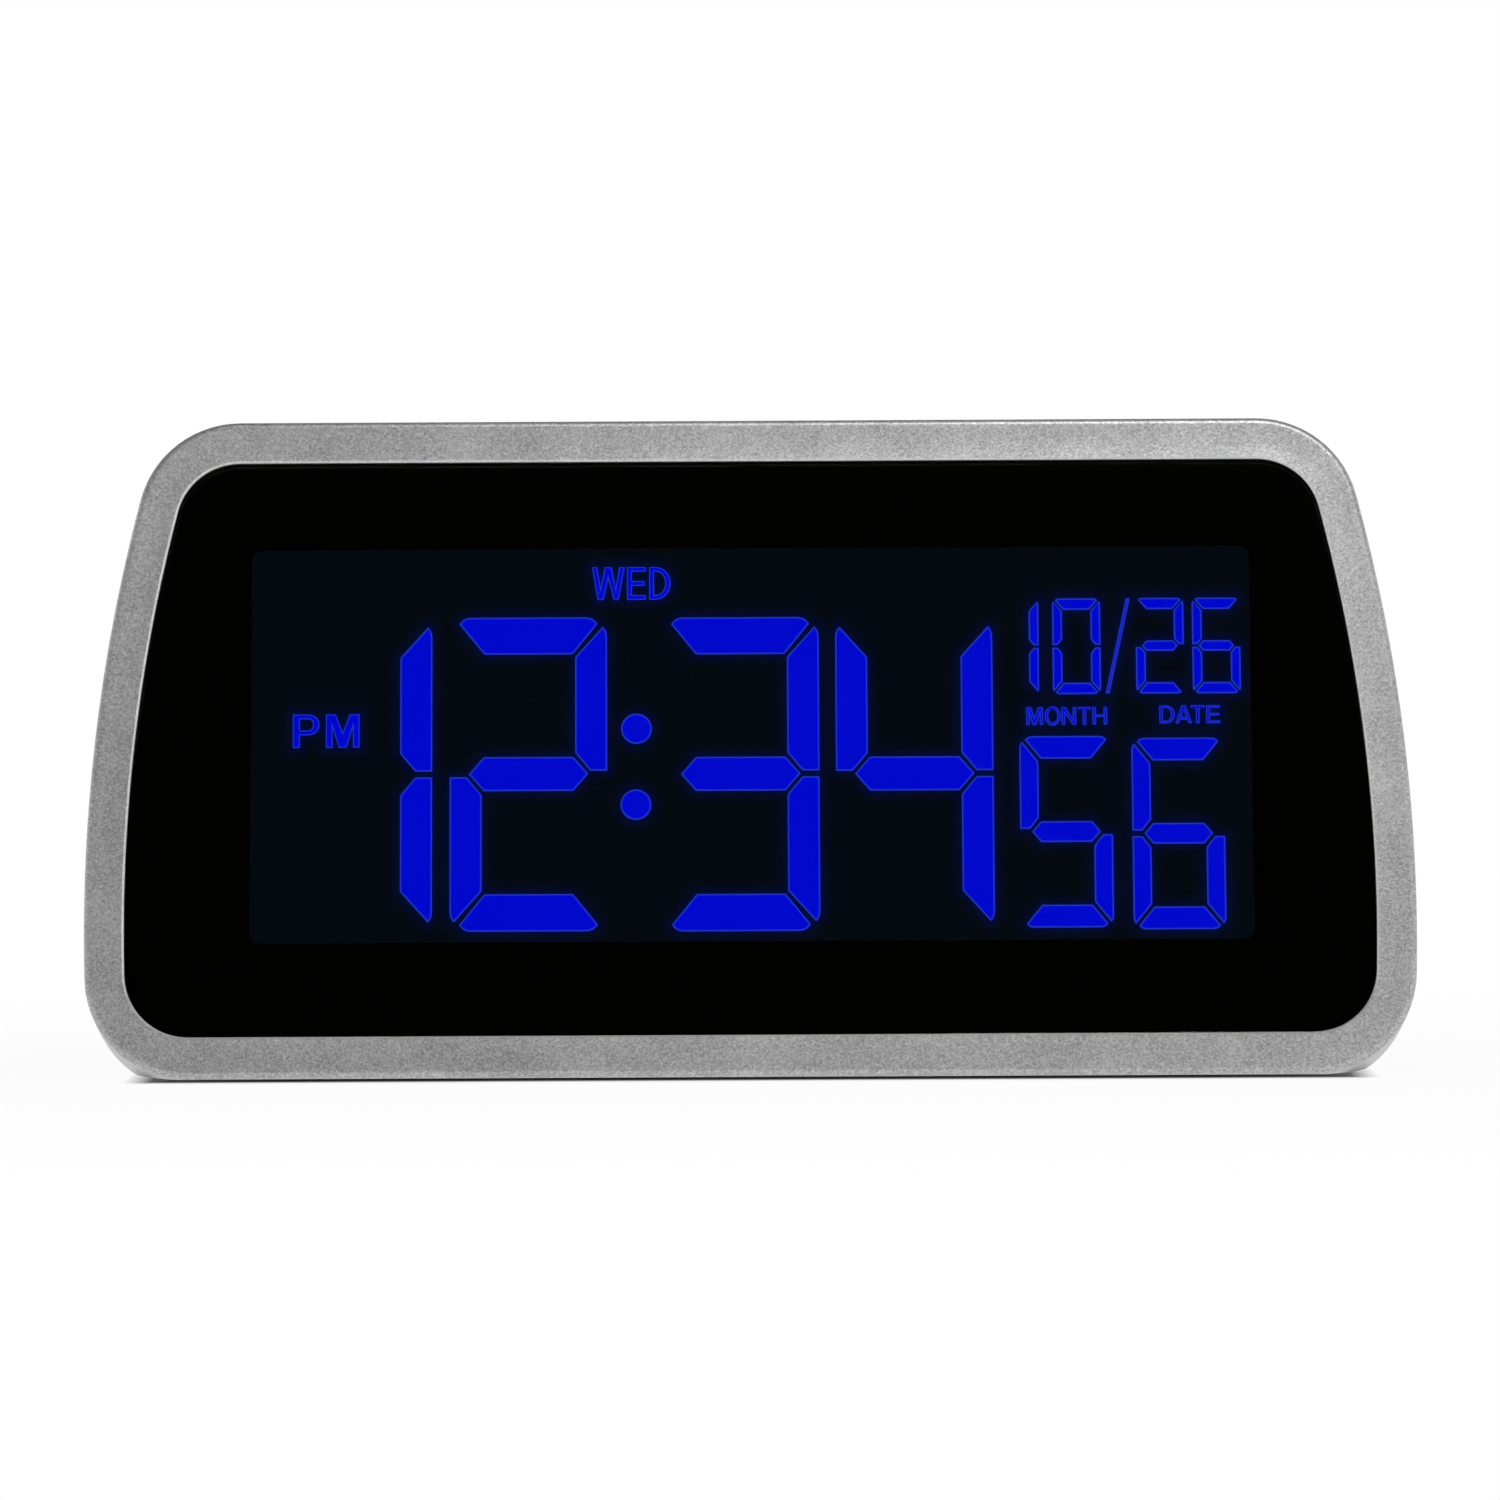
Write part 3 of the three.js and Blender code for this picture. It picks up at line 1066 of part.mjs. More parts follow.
function buildBattery() {
  const depth = DOOR_THICKNESS + SEAT + SEAT / 2 + CELL.radius;
  const end = bayLength / 2;
  const profile = [
    [0, 0], [CELL.radius, 0], [CELL.radius, CELL.length], [CELL.nub, CELL.length],
    [CELL.nub, CELL.length + CELL.nubLength], [0, CELL.length + CELL.nubLength],
  ].map(([r, h]) => new THREE.Vector2(r, h));
  for (const [i, side] of [[0, 1], [1, -1]]) {
    const up = BAY_LOW + bayHeight / 2 + (i - 0.5) * cellPitch;
    // Each cell's axis points along its plus end, and the two lie head to tail
    const turned = new THREE.LatheGeometry(profile, LARGE_CIRCLE).rotateZ(-side * Math.PI / 2);
    const start = -side * (end - SEAT - SPRING.length - SEAT);
    place(`cell_${i + 1}`, solid(turned.translate(start, up, depth)), cellSleeve, BACK);

    const { shape, gap } = coil(SPRING);
    console.log(`battery_spring_${i + 1}: least gap between turns ${gap.toFixed(2)} mm`);
    const facing = new THREE.Matrix4().makeRotationY(side > 0 ? 0 : Math.PI)
      .setPosition(-side * (end - SEAT), up, depth);
    place(`battery_spring_${i + 1}`, shape, brightMetal, BACK.clone().multiply(facing));

    const plateX = side * (end - CONTACT.thickness / 2 - SEAT / 2);
    const plate = box(plateX, up, CONTACT.thickness, CONTACT.size, depth - CONTACT.size / 2,
      depth + CONTACT.size / 2);
    place(`battery_contact_${i + 1}`, plate, brightMetal, BACK);
  }
}

// Sounder and power socket

function buildBuzzer() {
  const shape = rod(BUZZER.x, BUZZER.up, BUZZER.radius, CASE_WALL + SEAT, CASE_WALL + SEAT + BUZZER.height,
    WORLD, LARGE_CIRCLE)
    .subtract(rod(BUZZER.x, BUZZER.up, STEM_RADIUS, 0, CASE_WALL + BUZZER.height / 2));
  place('buzzer', shape, chipBlack, BACK);
}

function buildJack() {
  const { x, up, barrel, bore, length } = JACK;
  const flangeTop = -SEAT - JACK_FLANGE.height;
  const body = rod(x, up, barrel, -SEAT, length)
    .add(rod(x, up, JACK_FLANGE.radius, flangeTop, -SEAT, WORLD, LARGE_CIRCLE))
    .subtract(rod(x, up, bore, flangeTop - CUT, JACK_BORE_DEPTH));
  place('dc_jack', body, chipBlack, BACK);
  const pinBack = JACK_BORE_DEPTH - SEAT;
  place('jack_pin', rod(x, up, JACK_PIN.radius, pinBack - JACK_PIN.length, pinBack), brass, BACK);
  const nutFront = CASE_WALL + SEAT;
  const nut = rod(x, up, JACK_NUT.radius, nutFront, nutFront + JACK_NUT.height, WORLD, JACK_NUT.sides)
    .subtract(rod(x, up, barrel + THREAD_GAP, nutFront - CUT, nutFront + JACK_NUT.height + CUT));
  place('jack_nut', nut, brightMetal, BACK);
}

// The flat ribbon from the key board forward to the main board, in one loose curve
function buildRibbon() {
  const start = new THREE.Vector3(RIBBON.x, rowHeight, keyBoardBack + SEAT).applyMatrix4(BACK);
  const end = new THREE.Vector3(RIBBON.x, rowHeight - KEY_BOARD_HALF.width, -mainBoardBack - SEAT)
    .applyMatrix4(FACE);
  const span = start.y - end.y;
  const curve = new THREE.CubicBezierCurve(
    new THREE.Vector2(start.y, start.z),
    new THREE.Vector2(start.y - span * RIBBON.slack, start.z),
    new THREE.Vector2(end.y + span * RIBBON.slack, end.z),
    new THREE.Vector2(end.y, end.z),
  );
  const above = [];
  const below = [];
  for (let i = 0; i <= RIBBON_STEPS; i++) {
    const point = curve.getPoint(i / RIBBON_STEPS);
    const tangent = curve.getTangent(i / RIBBON_STEPS);
    const side = new THREE.Vector2(-tangent.y, tangent.x).multiplyScalar(RIBBON.thickness / 2);
    above.push(point.clone().add(side));
    below.push(point.clone().sub(side));
  }
  const outline = [...above, ...below.reverse()];
  const turn = THREE.ShapeUtils.area(outline) < 0 ? outline.reverse() : outline;
  // The outline lies in the Y-Z plane and is extruded along x
  const upright = new THREE.Matrix4().makeBasis(
    new THREE.Vector3(0, 1, 0), new THREE.Vector3(0, 0, 1), new THREE.Vector3(1, 0, 0));
  const strip = prism(turn, RIBBON.x - RIBBON.width / 2, RIBBON.x + RIBBON.width / 2, upright);
  place('key_ribbon', strip, whitePlastic);
}

buildBezel();
buildLens();
buildDisplay();
buildBacklight();
buildMainBoard();
buildRearCase();
buildFeet();
buildCaseScrews();
buildKeyRow();
buildSnooze();
buildDoor();
buildBattery();
buildBuzzer();
buildJack();
buildRibbon();

// The part's origin is the middle of its footprint, on the table
const extent = new THREE.Box3().setFromObject(clock);
clock.position.y = -(extent.min.y + extent.max.y) / 2;

export default clock;
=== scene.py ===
import math
from contextlib import contextmanager

import bmesh
import bpy
from mathutils import Matrix, Vector
from mathutils.bvhtree import BVHTree


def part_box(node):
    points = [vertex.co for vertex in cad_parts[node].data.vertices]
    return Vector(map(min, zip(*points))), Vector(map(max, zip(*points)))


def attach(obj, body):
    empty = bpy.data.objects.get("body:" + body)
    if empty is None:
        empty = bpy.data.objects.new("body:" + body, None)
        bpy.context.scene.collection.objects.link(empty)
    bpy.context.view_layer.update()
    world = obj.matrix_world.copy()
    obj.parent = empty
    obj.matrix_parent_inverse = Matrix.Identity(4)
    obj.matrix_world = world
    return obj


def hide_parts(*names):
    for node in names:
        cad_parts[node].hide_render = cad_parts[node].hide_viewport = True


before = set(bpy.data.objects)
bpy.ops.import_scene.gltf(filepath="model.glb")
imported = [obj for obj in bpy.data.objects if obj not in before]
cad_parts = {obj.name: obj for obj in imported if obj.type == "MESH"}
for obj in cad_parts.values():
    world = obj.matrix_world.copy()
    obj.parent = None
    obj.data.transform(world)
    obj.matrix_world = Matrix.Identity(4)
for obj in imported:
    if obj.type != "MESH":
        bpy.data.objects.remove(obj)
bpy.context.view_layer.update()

bpy.ops.object.select_all(action="DESELECT")

# Silver frame. The real one is moulded in ABS, with a faintly dished front and a rounded outer edge,
# and sprayed with a metallic paint whose flakes leave a fine grain. The lens lies in its chamfered
# opening, whose chamfer carries a painted highlight in a lighter copy of the paint, and the posts behind
# it take the screws of the board and of the rear case.
MM = 0.001
FACE_WIDTH = 190
FACE_HEIGHT = 95.5
FACE_TILT = math.radians(12)
SIDE_RADIUS = 251
WIDEST_HEIGHT = 23.1
TOP_CORNER = 14.75
BOTTOM_CORNER = 14.9
UNDERSIDE = 0.8
FRAME_FOOT = 0.85
RIM = 5.71
RIM_TOP = 6.06
RIM_FOOT = 5.95
RIM_DISH = 0.07
EDGE_ROUND = 0.9
EDGE_INSET = 0.95
EDGE_LAND = 0.1
INNER_CHAMFER = 0.3
BEZEL_DEPTH = 13
BEZEL_WALL = 2.2
LENS_TOP_CORNER = 9.25
PLATE_FRONT = 3.5
PLATE_BACK = 5.5
LCD_CLEARANCE = 0.5
BOARD_SCREW_X = 80.81
BOARD_SCREW_Y = (31, 70.5)
BOARD_POST = 2.6
BOARD_PILOT = 1
BOARD_SEAT = 11.4
CASE_SCREW_X = 80.38
CASE_SCREW_Z = (17, 50.75)
CASE_POST = 3.6
CASE_PILOT = 1.5
POST_JOINT = 16.6
CUT = 1
CORNER_STEPS = 14
SIDE_STEPS = 20
DISH_STEPS = 6
ROUND_STEPS = 6

sin_tilt = math.sin(FACE_TILT)
cos_tilt = math.cos(FACE_TILT)
face_foot = UNDERSIDE + EDGE_ROUND * sin_tilt + EDGE_LAND
face_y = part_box("front_bezel")[0].y / MM - EDGE_ROUND * sin_tilt

# The face plane in millimetres: x across, y up the face, z out of it
FACE = Matrix.Translation((0, face_y, face_foot)) @ Matrix.Rotation(math.pi / 2 - FACE_TILT, 4, "X")
# Level, from the foot of the face: x across, y up, z towards the front
LEVEL = Matrix.Translation((0, face_y, 0)) @ Matrix.Rotation(math.pi / 2, 4, "X")


def arc(x, y, radius, start, end, steps):
    """Points on part of a circle."""
    turns = [start + (end - start) * i / steps for i in range(steps + 1)]
    return [(x + radius * math.cos(turn), y + radius * math.sin(turn)) for turn in turns]


def face_outline(side, top=None, foot=None, top_corner=None, foot_corner=None):
    """The clock's face drawn in from its edges: flat top and foot, bowed sides, round corners."""
    top = side if top is None else top
    foot = side if foot is None else foot
    top_corner = TOP_CORNER - side if top_corner is None else top_corner
    foot_corner = BOTTOM_CORNER - side if foot_corner is None else foot_corner
    radius = SIDE_RADIUS - side
    centre = FACE_WIDTH / 2 - SIDE_RADIUS
    high = FACE_HEIGHT - top - top_corner
    low = foot + foot_corner
    high_x = centre + math.sqrt((radius - top_corner) ** 2 - (high - WIDEST_HEIGHT) ** 2)
    low_x = centre + math.sqrt((radius - foot_corner) ** 2 - (low - WIDEST_HEIGHT) ** 2)
    high_turn = math.atan2(high - WIDEST_HEIGHT, high_x - centre)
    low_turn = math.atan2(low - WIDEST_HEIGHT, low_x - centre)
    right = arc(low_x, low, foot_corner, -math.pi / 2, low_turn, CORNER_STEPS)
    right += arc(centre, WIDEST_HEIGHT, radius, low_turn, high_turn, SIDE_STEPS)[1:-1]
    right += arc(high_x, high, top_corner, high_turn, math.pi / 2, CORNER_STEPS)
    return right + [(-x, y) for x, y in reversed(right)]


def lay(plane, outline, depth):
    """An outline laid in a plane's frame at a depth behind it, as points in metres."""
    return [(plane @ Vector((x, y, -depth))) * MM for x, y in outline]


def only(piece):
    """Selects one piece alone and makes it active."""
    bpy.ops.object.select_all(action="DESELECT")
    piece.select_set(True)
    bpy.context.view_layer.objects.active = piece


def added(name):
    """The object that the last operator made, under its own name."""
    piece = bpy.context.object
    piece.name = name
    piece.data.name = name
    return piece


def put_in_order(parts, key):
    """Numbers points, edges or faces by a key, so that every run gives the same mesh."""
    for number, part in enumerate(sorted(parts, key=key)):
        part.index = number
    parts.sort()


@contextmanager
def edit_mode():
    """Edit mode with all selected. At the end the faces are turned outwards and all is put in order."""
    bpy.ops.object.mode_set(mode="EDIT")
    bpy.ops.mesh.select_all(action="SELECT")
    yield
    bpy.ops.mesh.select_all(action="SELECT")
    bpy.ops.mesh.normals_make_consistent(inside=False)
    skin = bmesh.from_edit_mesh(bpy.context.object.data)
    put_in_order(skin.verts, lambda vertex: vertex.co[:])
    for parts in (skin.edges, skin.faces):
        put_in_order(parts, lambda part: sorted(vertex.index for vertex in part.verts))
    bpy.ops.object.mode_set(mode="OBJECT")


def sweep(name, rings, capped=True):
    """A closed skin: a circle is laid on the first ring, and its edge is extruded from ring to ring.
    An uncapped skin comes back to its first ring."""
    bpy.ops.object.select_all(action="DESELECT")
    bpy.ops.mesh.primitive_circle_add(vertices=len(rings[0]), fill_type="NGON" if capped else "NOTHING")
    piece = added(name)
    order = piece.data.attributes.new("order", "INT", "POINT")
    order.data.foreach_set("value", range(len(rings[0])))
    with edit_mode():
        for number, ring in enumerate(rings):
            if number:
                bpy.ops.mesh.extrude_edges_move()
            skin = bmesh.from_edit_mesh(piece.data)
            place = skin.verts.layers.int["order"]
            for vertex in skin.verts:
                if vertex.select:
                    vertex.co = ring[vertex[place]]
            bmesh.update_edit_mesh(piece.data)
        if capped:
            bpy.ops.mesh.edge_face_add()
        bpy.ops.mesh.select_all(action="SELECT")
        bpy.ops.mesh.remove_doubles(threshold=0.001 * MM)
    piece.data.attributes.remove(piece.data.attributes["order"])
    return piece


def cut_level(piece, height):
    """Cuts a piece off level, and closes the cut."""
    only(piece)
    with edit_mode():
        bpy.ops.mesh.bisect(plane_co=(0, 0, height * MM), plane_no=(0, 0, 1), use_fill=True, clear_inner=True)


def circle(x, y, radius, sides=32):
    return arc(x, y, radius, 0, 2 * math.pi, sides)[:-1]


def block(plane, outline, low, high, name="tool"):
    """A solid with one outline, from one depth behind a plane to another."""
    return sweep(name, [lay(plane, outline, low), lay(plane, outline, high)])


def rod(x, y, radius, low, high, plane, sides=32):
    return block(plane, circle(x, y, radius, sides), low, high)


def joined(parts):
    """Several loose parts made one object."""
    bpy.ops.object.select_all(action="DESELECT")
    for part in parts:
        part.select_set(True)
    bpy.context.view_layer.objects.active = parts[0]
    bpy.ops.object.join()
    return parts[0]


def carve(piece, tools, operation="DIFFERENCE"):
    """Joins tools to a piece or cuts them out of it, and uses them up."""
    for tool in tools:
        only(piece)
        change = piece.modifiers.new("carve", "BOOLEAN")
        change.operation = operation
        change.solver = "EXACT"
        change.object = tool
        bpy.ops.object.modifier_apply(modifier=change.name)
        bpy.data.objects.remove(tool)


def coat(piece, *materials, angle=32):
    """Smooth shading up to an angle, with the flat faces kept flat, and the piece's finishes."""
    only(piece)
    bpy.ops.object.shade_smooth_by_angle(angle=math.radians(angle))
    weigh = piece.modifiers.new("weigh", "WEIGHTED_NORMAL")
    weigh.keep_sharp = True
    bpy.ops.object.modifier_apply(modifier=weigh.name)
    piece.data.materials.clear()
    for material in materials:
        piece.data.materials.append(material)


class Value:
    """A shader socket that takes part in sums."""

    def __init__(self, finish, socket):
        self.finish = finish
        self.socket = socket

    def maths(self, operation, first, second):
        return self.finish.node("ShaderNodeMath", {"operation": operation}, {0: first, 1: second})

    def __add__(self, other):
        return self.maths("ADD", self, other)

    def __radd__(self, other):
        return self.maths("ADD", other, self)

    def __sub__(self, other):
        return self.maths("SUBTRACT", self, other)

    def __rsub__(self, other):
        return self.maths("SUBTRACT", other, self)

    def __mul__(self, other):
        return self.maths("MULTIPLY", self, other)

    def __rmul__(self, other):
        return self.maths("MULTIPLY", other, self)


class Finish:
    """The nodes of one finish, made one by one."""

    def __init__(self, tree):
        self.tree = tree
        tree.nodes.clear()

    def node(self, kind, settings=None, inputs=None, output=0):
        """Adds a node: its settings first, then the values or links of its sockets."""
        made = self.tree.nodes.new(kind)
        for name, value in (settings or {}).items():
            if name == "stops":
                ramp = made.color_ramp
                while len(ramp.elements) < len(value):
                    ramp.elements.new(1)
                for element, (position, color) in zip(ramp.elements, value):
                    element.position = position
                    element.color = (*color, 1)
            else:
                setattr(made, name, value)
        for name, value in (inputs or {}).items():
            if isinstance(value, Value):
                self.tree.links.new(value.socket, made.inputs[name])
            else:
                made.inputs[name].default_value = value
        return Value(self, made.outputs[output] if made.outputs else None)

    def object_place(self):
        return self.node("ShaderNodeTexCoord", output="Object")

    def grain(self, size, detail=2, roughness=0.5):
        """Soft random spots of a size in millimetres, as a value around a half."""
        inputs = {"Vector": self.object_place(), "Scale": 1 / (size * MM), "Detail": detail,
                  "Roughness": roughness}
        return self.node("ShaderNodeTexNoise", {}, inputs)

    def cells(self, size, output="Color"):
        """Small cells of a size in millimetres, each with its own random colour."""
        inputs = {"Vector": self.object_place(), "Scale": 1 / (size * MM)}
        return self.node("ShaderNodeTexVoronoi", {}, inputs, output)

    def stripes(self, scale):
        """Upright stripes, more of them for a larger scale."""
        inputs = {"Vector": self.object_place(), "Scale": scale, "Distortion": 0.0}
        return self.node("ShaderNodeTexWave", {"bands_direction": "X"}, inputs, "Fac")

    def ramp(self, value, stops):
        return self.node("ShaderNodeValToRGB", {"stops": stops}, {"Fac": value}, "Color")

    def level(self, value, low, high, start=0, end=1):
        """A value moved from one range to another, and held within it."""
        inputs = {"Value": value, "From Min": low, "From Max": high, "To Min": start, "To Max": end}
        return self.node("ShaderNodeMapRange", {"clamp": True}, inputs)

    def mix(self, share, first, second):
        settings = {"data_type": "RGBA", "clamp_factor": True}
        return self.node("ShaderNodeMix", settings, {0: share, 6: first, 7: second}, 2)

    def bump(self, height, depth, strength=1):
        inputs = {"Height": height, "Distance": depth * MM, "Strength": strength}
        return self.node("ShaderNodeBump", {}, inputs)

    def surface(self, **inputs):
        """Ends the finish in a Principled surface."""
        named = {name.replace("_", " "): value for name, value in inputs.items()}
        shader = self.node("ShaderNodeBsdfPrincipled", {}, named)
        self.node("ShaderNodeOutputMaterial", {}, {"Surface": shader})


def new_finish(name):
    material = bpy.data.materials.new(name)
    material.use_nodes = True
    return material, Finish(material.node_tree)


def grey(level):
    return (level, level, level, 1)


def mottled(name, spots, dark, light, rough, pores=None, depth=0, ends=(0.3, 0.7), **more):
    """A finish between two shades and two roughnesses, by spots given as a size and a detail. Its bump
    follows the spots, or finer pores."""
    material, skin = new_finish(name)
    patches = skin.grain(*spots)
    if depth:
        more["Normal"] = skin.bump(skin.grain(*pores) if pores else patches, depth)
    skin.surface(Base_Color=skin.ramp(patches, list(zip(ends, (dark, light)))),
                 Roughness=skin.level(patches, 0.3, 0.7, *rough), **more)
    return material


def silver_paint(name, dark, light):
    material, paint = new_finish(name)
    clumps = paint.grain(0.34, 3, 0.65)
    sand = paint.node("ShaderNodeSeparateColor", {}, {"Color": paint.cells(0.24)})
    cloud = paint.grain(9, 2)
    tone = paint.ramp(clumps * 0.55 + sand * 0.25 + cloud * 0.2,
                      [(0.3, (dark, dark, dark)), (0.7, (light, light, light))])
    color = paint.mix(paint.level(sand, 0.88, 1) * 0.3, tone, grey(0.7))
    roughness = paint.level(clumps, 0.3, 0.7, 0.48, 0.38)
    paint.surface(Base_Color=color, Roughness=roughness, Metallic=0.7, Coat_Weight=0.25, Coat_Roughness=0.25,
                  Normal=paint.bump(clumps, 0.01))
    return material


WINDOW_SHIFT = 0.25
WINDOW_LOW = 19.72
WINDOW_HEIGHT = 57.35
WINDOW_HALF = 71.7
LCD_LOW = 13
LCD_HIGH = 79.8
lcd_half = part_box("lcd_panel")[1].x / MM


def rounded_outline(x, y, width, height, radius, steps, spread=0):
    """A rectangle with round corners, its points in the face outline's order. Spread adds points that
    share out its sides."""
    across = width / 2 - radius
    up = height / 2 - radius
    quarter = math.pi / 2
    right = arc(x + across, y - up, radius, -quarter, 0, steps)
    right += [(x + width / 2, y - up + 2 * up * i / spread) for i in range(1, spread)]
    right += arc(x + across, y + up, radius, 0, quarter, steps)
    return right + [(2 * x - px, py) for px, py in reversed(right)]


def face_ring(side, depth, top_corner, foot=None, top=None):
    return lay(FACE, face_outline(side, top, foot, top_corner), depth)


def height_up_face(z, behind):
    """Height up the face of a point this far behind it and this high above the table."""
    return (z - face_foot + behind * sin_tilt) / cos_tilt


def depth_at_level(z, behind):
    return height_up_face(z, behind) * sin_tilt + behind * cos_tilt


frame_rings = [face_ring(0, BEZEL_DEPTH, TOP_CORNER)]
for step in range(ROUND_STEPS + 1):
    turn = math.pi / 2 * step / ROUND_STEPS
    inset = EDGE_INSET * (1 - math.cos(turn))
    depth = EDGE_ROUND * (1 - math.sin(turn))
    frame_rings.append(face_ring(inset, depth, TOP_CORNER - inset))
for step in range(1, DISH_STEPS + 1):
    share = step / DISH_STEPS
    side, top, foot = [EDGE_INSET + (rim - INNER_CHAMFER - EDGE_INSET) * share
                       for rim in (RIM, RIM_TOP, RIM_FOOT)]
    corner = (TOP_CORNER - EDGE_INSET) * (1 - share) + (LENS_TOP_CORNER + INNER_CHAMFER) * share
    frame_rings.append(face_ring(side, RIM_DISH * (1 - (2 * share - 1) ** 2), corner, foot, top))
for depth in (INNER_CHAMFER, PLATE_FRONT):
    frame_rings.append(face_ring(RIM, depth, LENS_TOP_CORNER, RIM_FOOT, RIM_TOP))
lcd_hole = rounded_outline(0, (LCD_LOW + LCD_HIGH) / 2, 2 * lcd_half + LCD_CLEARANCE,
                           LCD_HIGH - LCD_LOW + LCD_CLEARANCE, 0.5, CORNER_STEPS, SIDE_STEPS)
for depth in (PLATE_FRONT, PLATE_BACK):
    frame_rings.append(lay(FACE, lcd_hole, depth))
cavity_foot = height_up_face(UNDERSIDE + BEZEL_WALL, BEZEL_DEPTH)
for depth in (PLATE_BACK, BEZEL_DEPTH):
    frame_rings.append(face_ring(BEZEL_WALL, depth, TOP_CORNER - BEZEL_WALL, cavity_foot))
frame_rings.append(frame_rings[0])
silver_frame = sweep("silver_frame", frame_rings, capped=False)
cut_level(silver_frame, FRAME_FOOT)

board_screws = [(side * BOARD_SCREW_X, up) for side in (-1, 1) for up in BOARD_SCREW_Y]
case_screws = [(side * CASE_SCREW_X, z) for z in CASE_SCREW_Z for side in (-1, 1)]
for x, up in board_screws:
    carve(silver_frame, [rod(x, up, BOARD_POST, PLATE_BACK - 1, BOARD_SEAT, FACE)], "UNION")
    carve(silver_frame, [rod(x, up, BOARD_PILOT, PLATE_BACK, BOARD_SEAT + 0.6, FACE)])
for x, z in case_screws:
    joint = depth_at_level(z, POST_JOINT)
    root = depth_at_level(z, PLATE_FRONT + 1)
    carve(silver_frame, [rod(x, z, CASE_POST, root, joint, LEVEL)], "UNION")
    carve(silver_frame, [rod(x, z, CASE_PILOT, root + 1, joint + CUT, LEVEL)])
silver = silver_paint("silver_paint", 0.28, 0.64)
# The second finish, a much lighter copy of the silver paint, is a painted highlight for the chamfer round the
# lens.
coat(silver_frame, silver, silver_paint("silver_painted_highlight", 0.6, 0.9))
face_normal = FACE.to_3x3() @ Vector((0, 0, 1))
face_middle = FACE @ Vector((0, FACE_HEIGHT / 2, 0)) * MM
# Faces of the inner chamfer near the front take the painted highlight.
for face in silver_frame.data.polygons:
    painted_highlight_chamfer = 0.4 < face.normal @ face_normal < 0.9 and face.normal @ (face.center - face_middle) < 0
    near_front = (face.center - face_middle) @ face_normal > -MM
    face.material_index = 1 if painted_highlight_chamfer and near_front else 0
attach(silver_frame, "clock")
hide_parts("front_bezel")

# Lens. A flat plate of clear acrylic, cut to the frame's opening. Its edge faces take the black print as
# painted shade for the dark gap round it. It lies half a millimetre below the frame and is held by tape
# on the printed sheet behind it.
LENS_FRONT = 0.5
LENS_BACK = 2.5
LENS_EDGE = 0.04
LENS_FIT = 0.08


def lens_ring(inset, depth):
    grow = LENS_FIT + inset
    return face_ring(RIM + grow, depth, LENS_TOP_CORNER - grow, RIM_FOOT + grow, RIM_TOP + grow)


def clear_acrylic():
    material, acrylic = new_finish("clear_acrylic")
    haze = acrylic.grain(14, 2)
    acrylic.surface(Base_Color=grey(1), Roughness=acrylic.level(haze, 0.3, 0.7, 0.005, 0.015), IOR=1.49,
                    Specular_IOR_Level=0.2, Transmission_Weight=1.0)
    return material


lens = sweep("lens", [lens_ring(LENS_EDGE, LENS_BACK), lens_ring(0, LENS_BACK - LENS_EDGE),
                      lens_ring(0, LENS_FRONT + LENS_EDGE), lens_ring(LENS_EDGE, LENS_FRONT)])
ink_black = mottled("black_print", (1.6, 3), (0.0005, 0.0005, 0.0002), (0.0009, 0.0009, 0.0003), (0.55, 0.7),
                    depth=0.004, Specular_IOR_Level=0.01)
coat(lens, clear_acrylic(), ink_black)
# The edge faces take the black print: painted shade for the dark gap between the lens and the frame.
for face in lens.data.polygons:
    face.material_index = 1 if abs(face.normal @ face_normal) < 0.2 else 0
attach(lens, "clock")
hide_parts("display_lens")

# Printed sheet. A thin polyester film behind the lens, screen printed solid black, with a clear window
# die-cut for the display. It hides the cell's border and the tray.
MASK_FRONT = 2.8
MASK_BACK = 3.2
WINDOW_CORNER = 1.5


def window_ring(depth):
    outline = rounded_outline(WINDOW_SHIFT, WINDOW_LOW + WINDOW_HEIGHT / 2, 2 * WINDOW_HALF, WINDOW_HEIGHT,
                              WINDOW_CORNER, CORNER_STEPS, SIDE_STEPS)
    return lay(FACE, outline, depth)


mask_rings = [lens_ring(0, MASK_BACK), lens_ring(0, MASK_FRONT), window_ring(MASK_FRONT),
              window_ring(MASK_BACK), lens_ring(0, MASK_BACK)]
printed_sheet = sweep("printed_sheet", mask_rings, capped=False)
coat(printed_sheet, ink_black)
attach(printed_sheet, "clock")
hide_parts("display_mask")

# Lit bars. In the real cell these are clear windows in a black liquid crystal field, so only the shapes
# of the digits let the blue light through. Each bar has a paler rim where light spills round its edge.
LIT_DEPTH = 3.5
LIT_PROUD = 0.06
LIT_RIM = 0.19
BAR_UPRIGHT = 0.2025
BAR_LEVEL = 0.118
BAR_HALF = 0.054
# The dots of the colon: each one's middle on the face
COLON = [(-16.2, 50.78), (-16.3, 39.71)]
COLON_RADIUS = 2.2
SLASH = [(51.15, 55.62), (51.7, 55.62), (54.75, 69.5), (54.2, 69.5)]


def eased(start, corner, end, steps=4):
    """Points on a curve from start to end, drawn towards a corner."""
    shares = [i / steps for i in range(steps + 1)]
    return [tuple((1 - t) ** 2 * a + 2 * t * (1 - t) * b + t ** 2 * c for a, b, c in zip(start, corner, end))
            for t in shares]


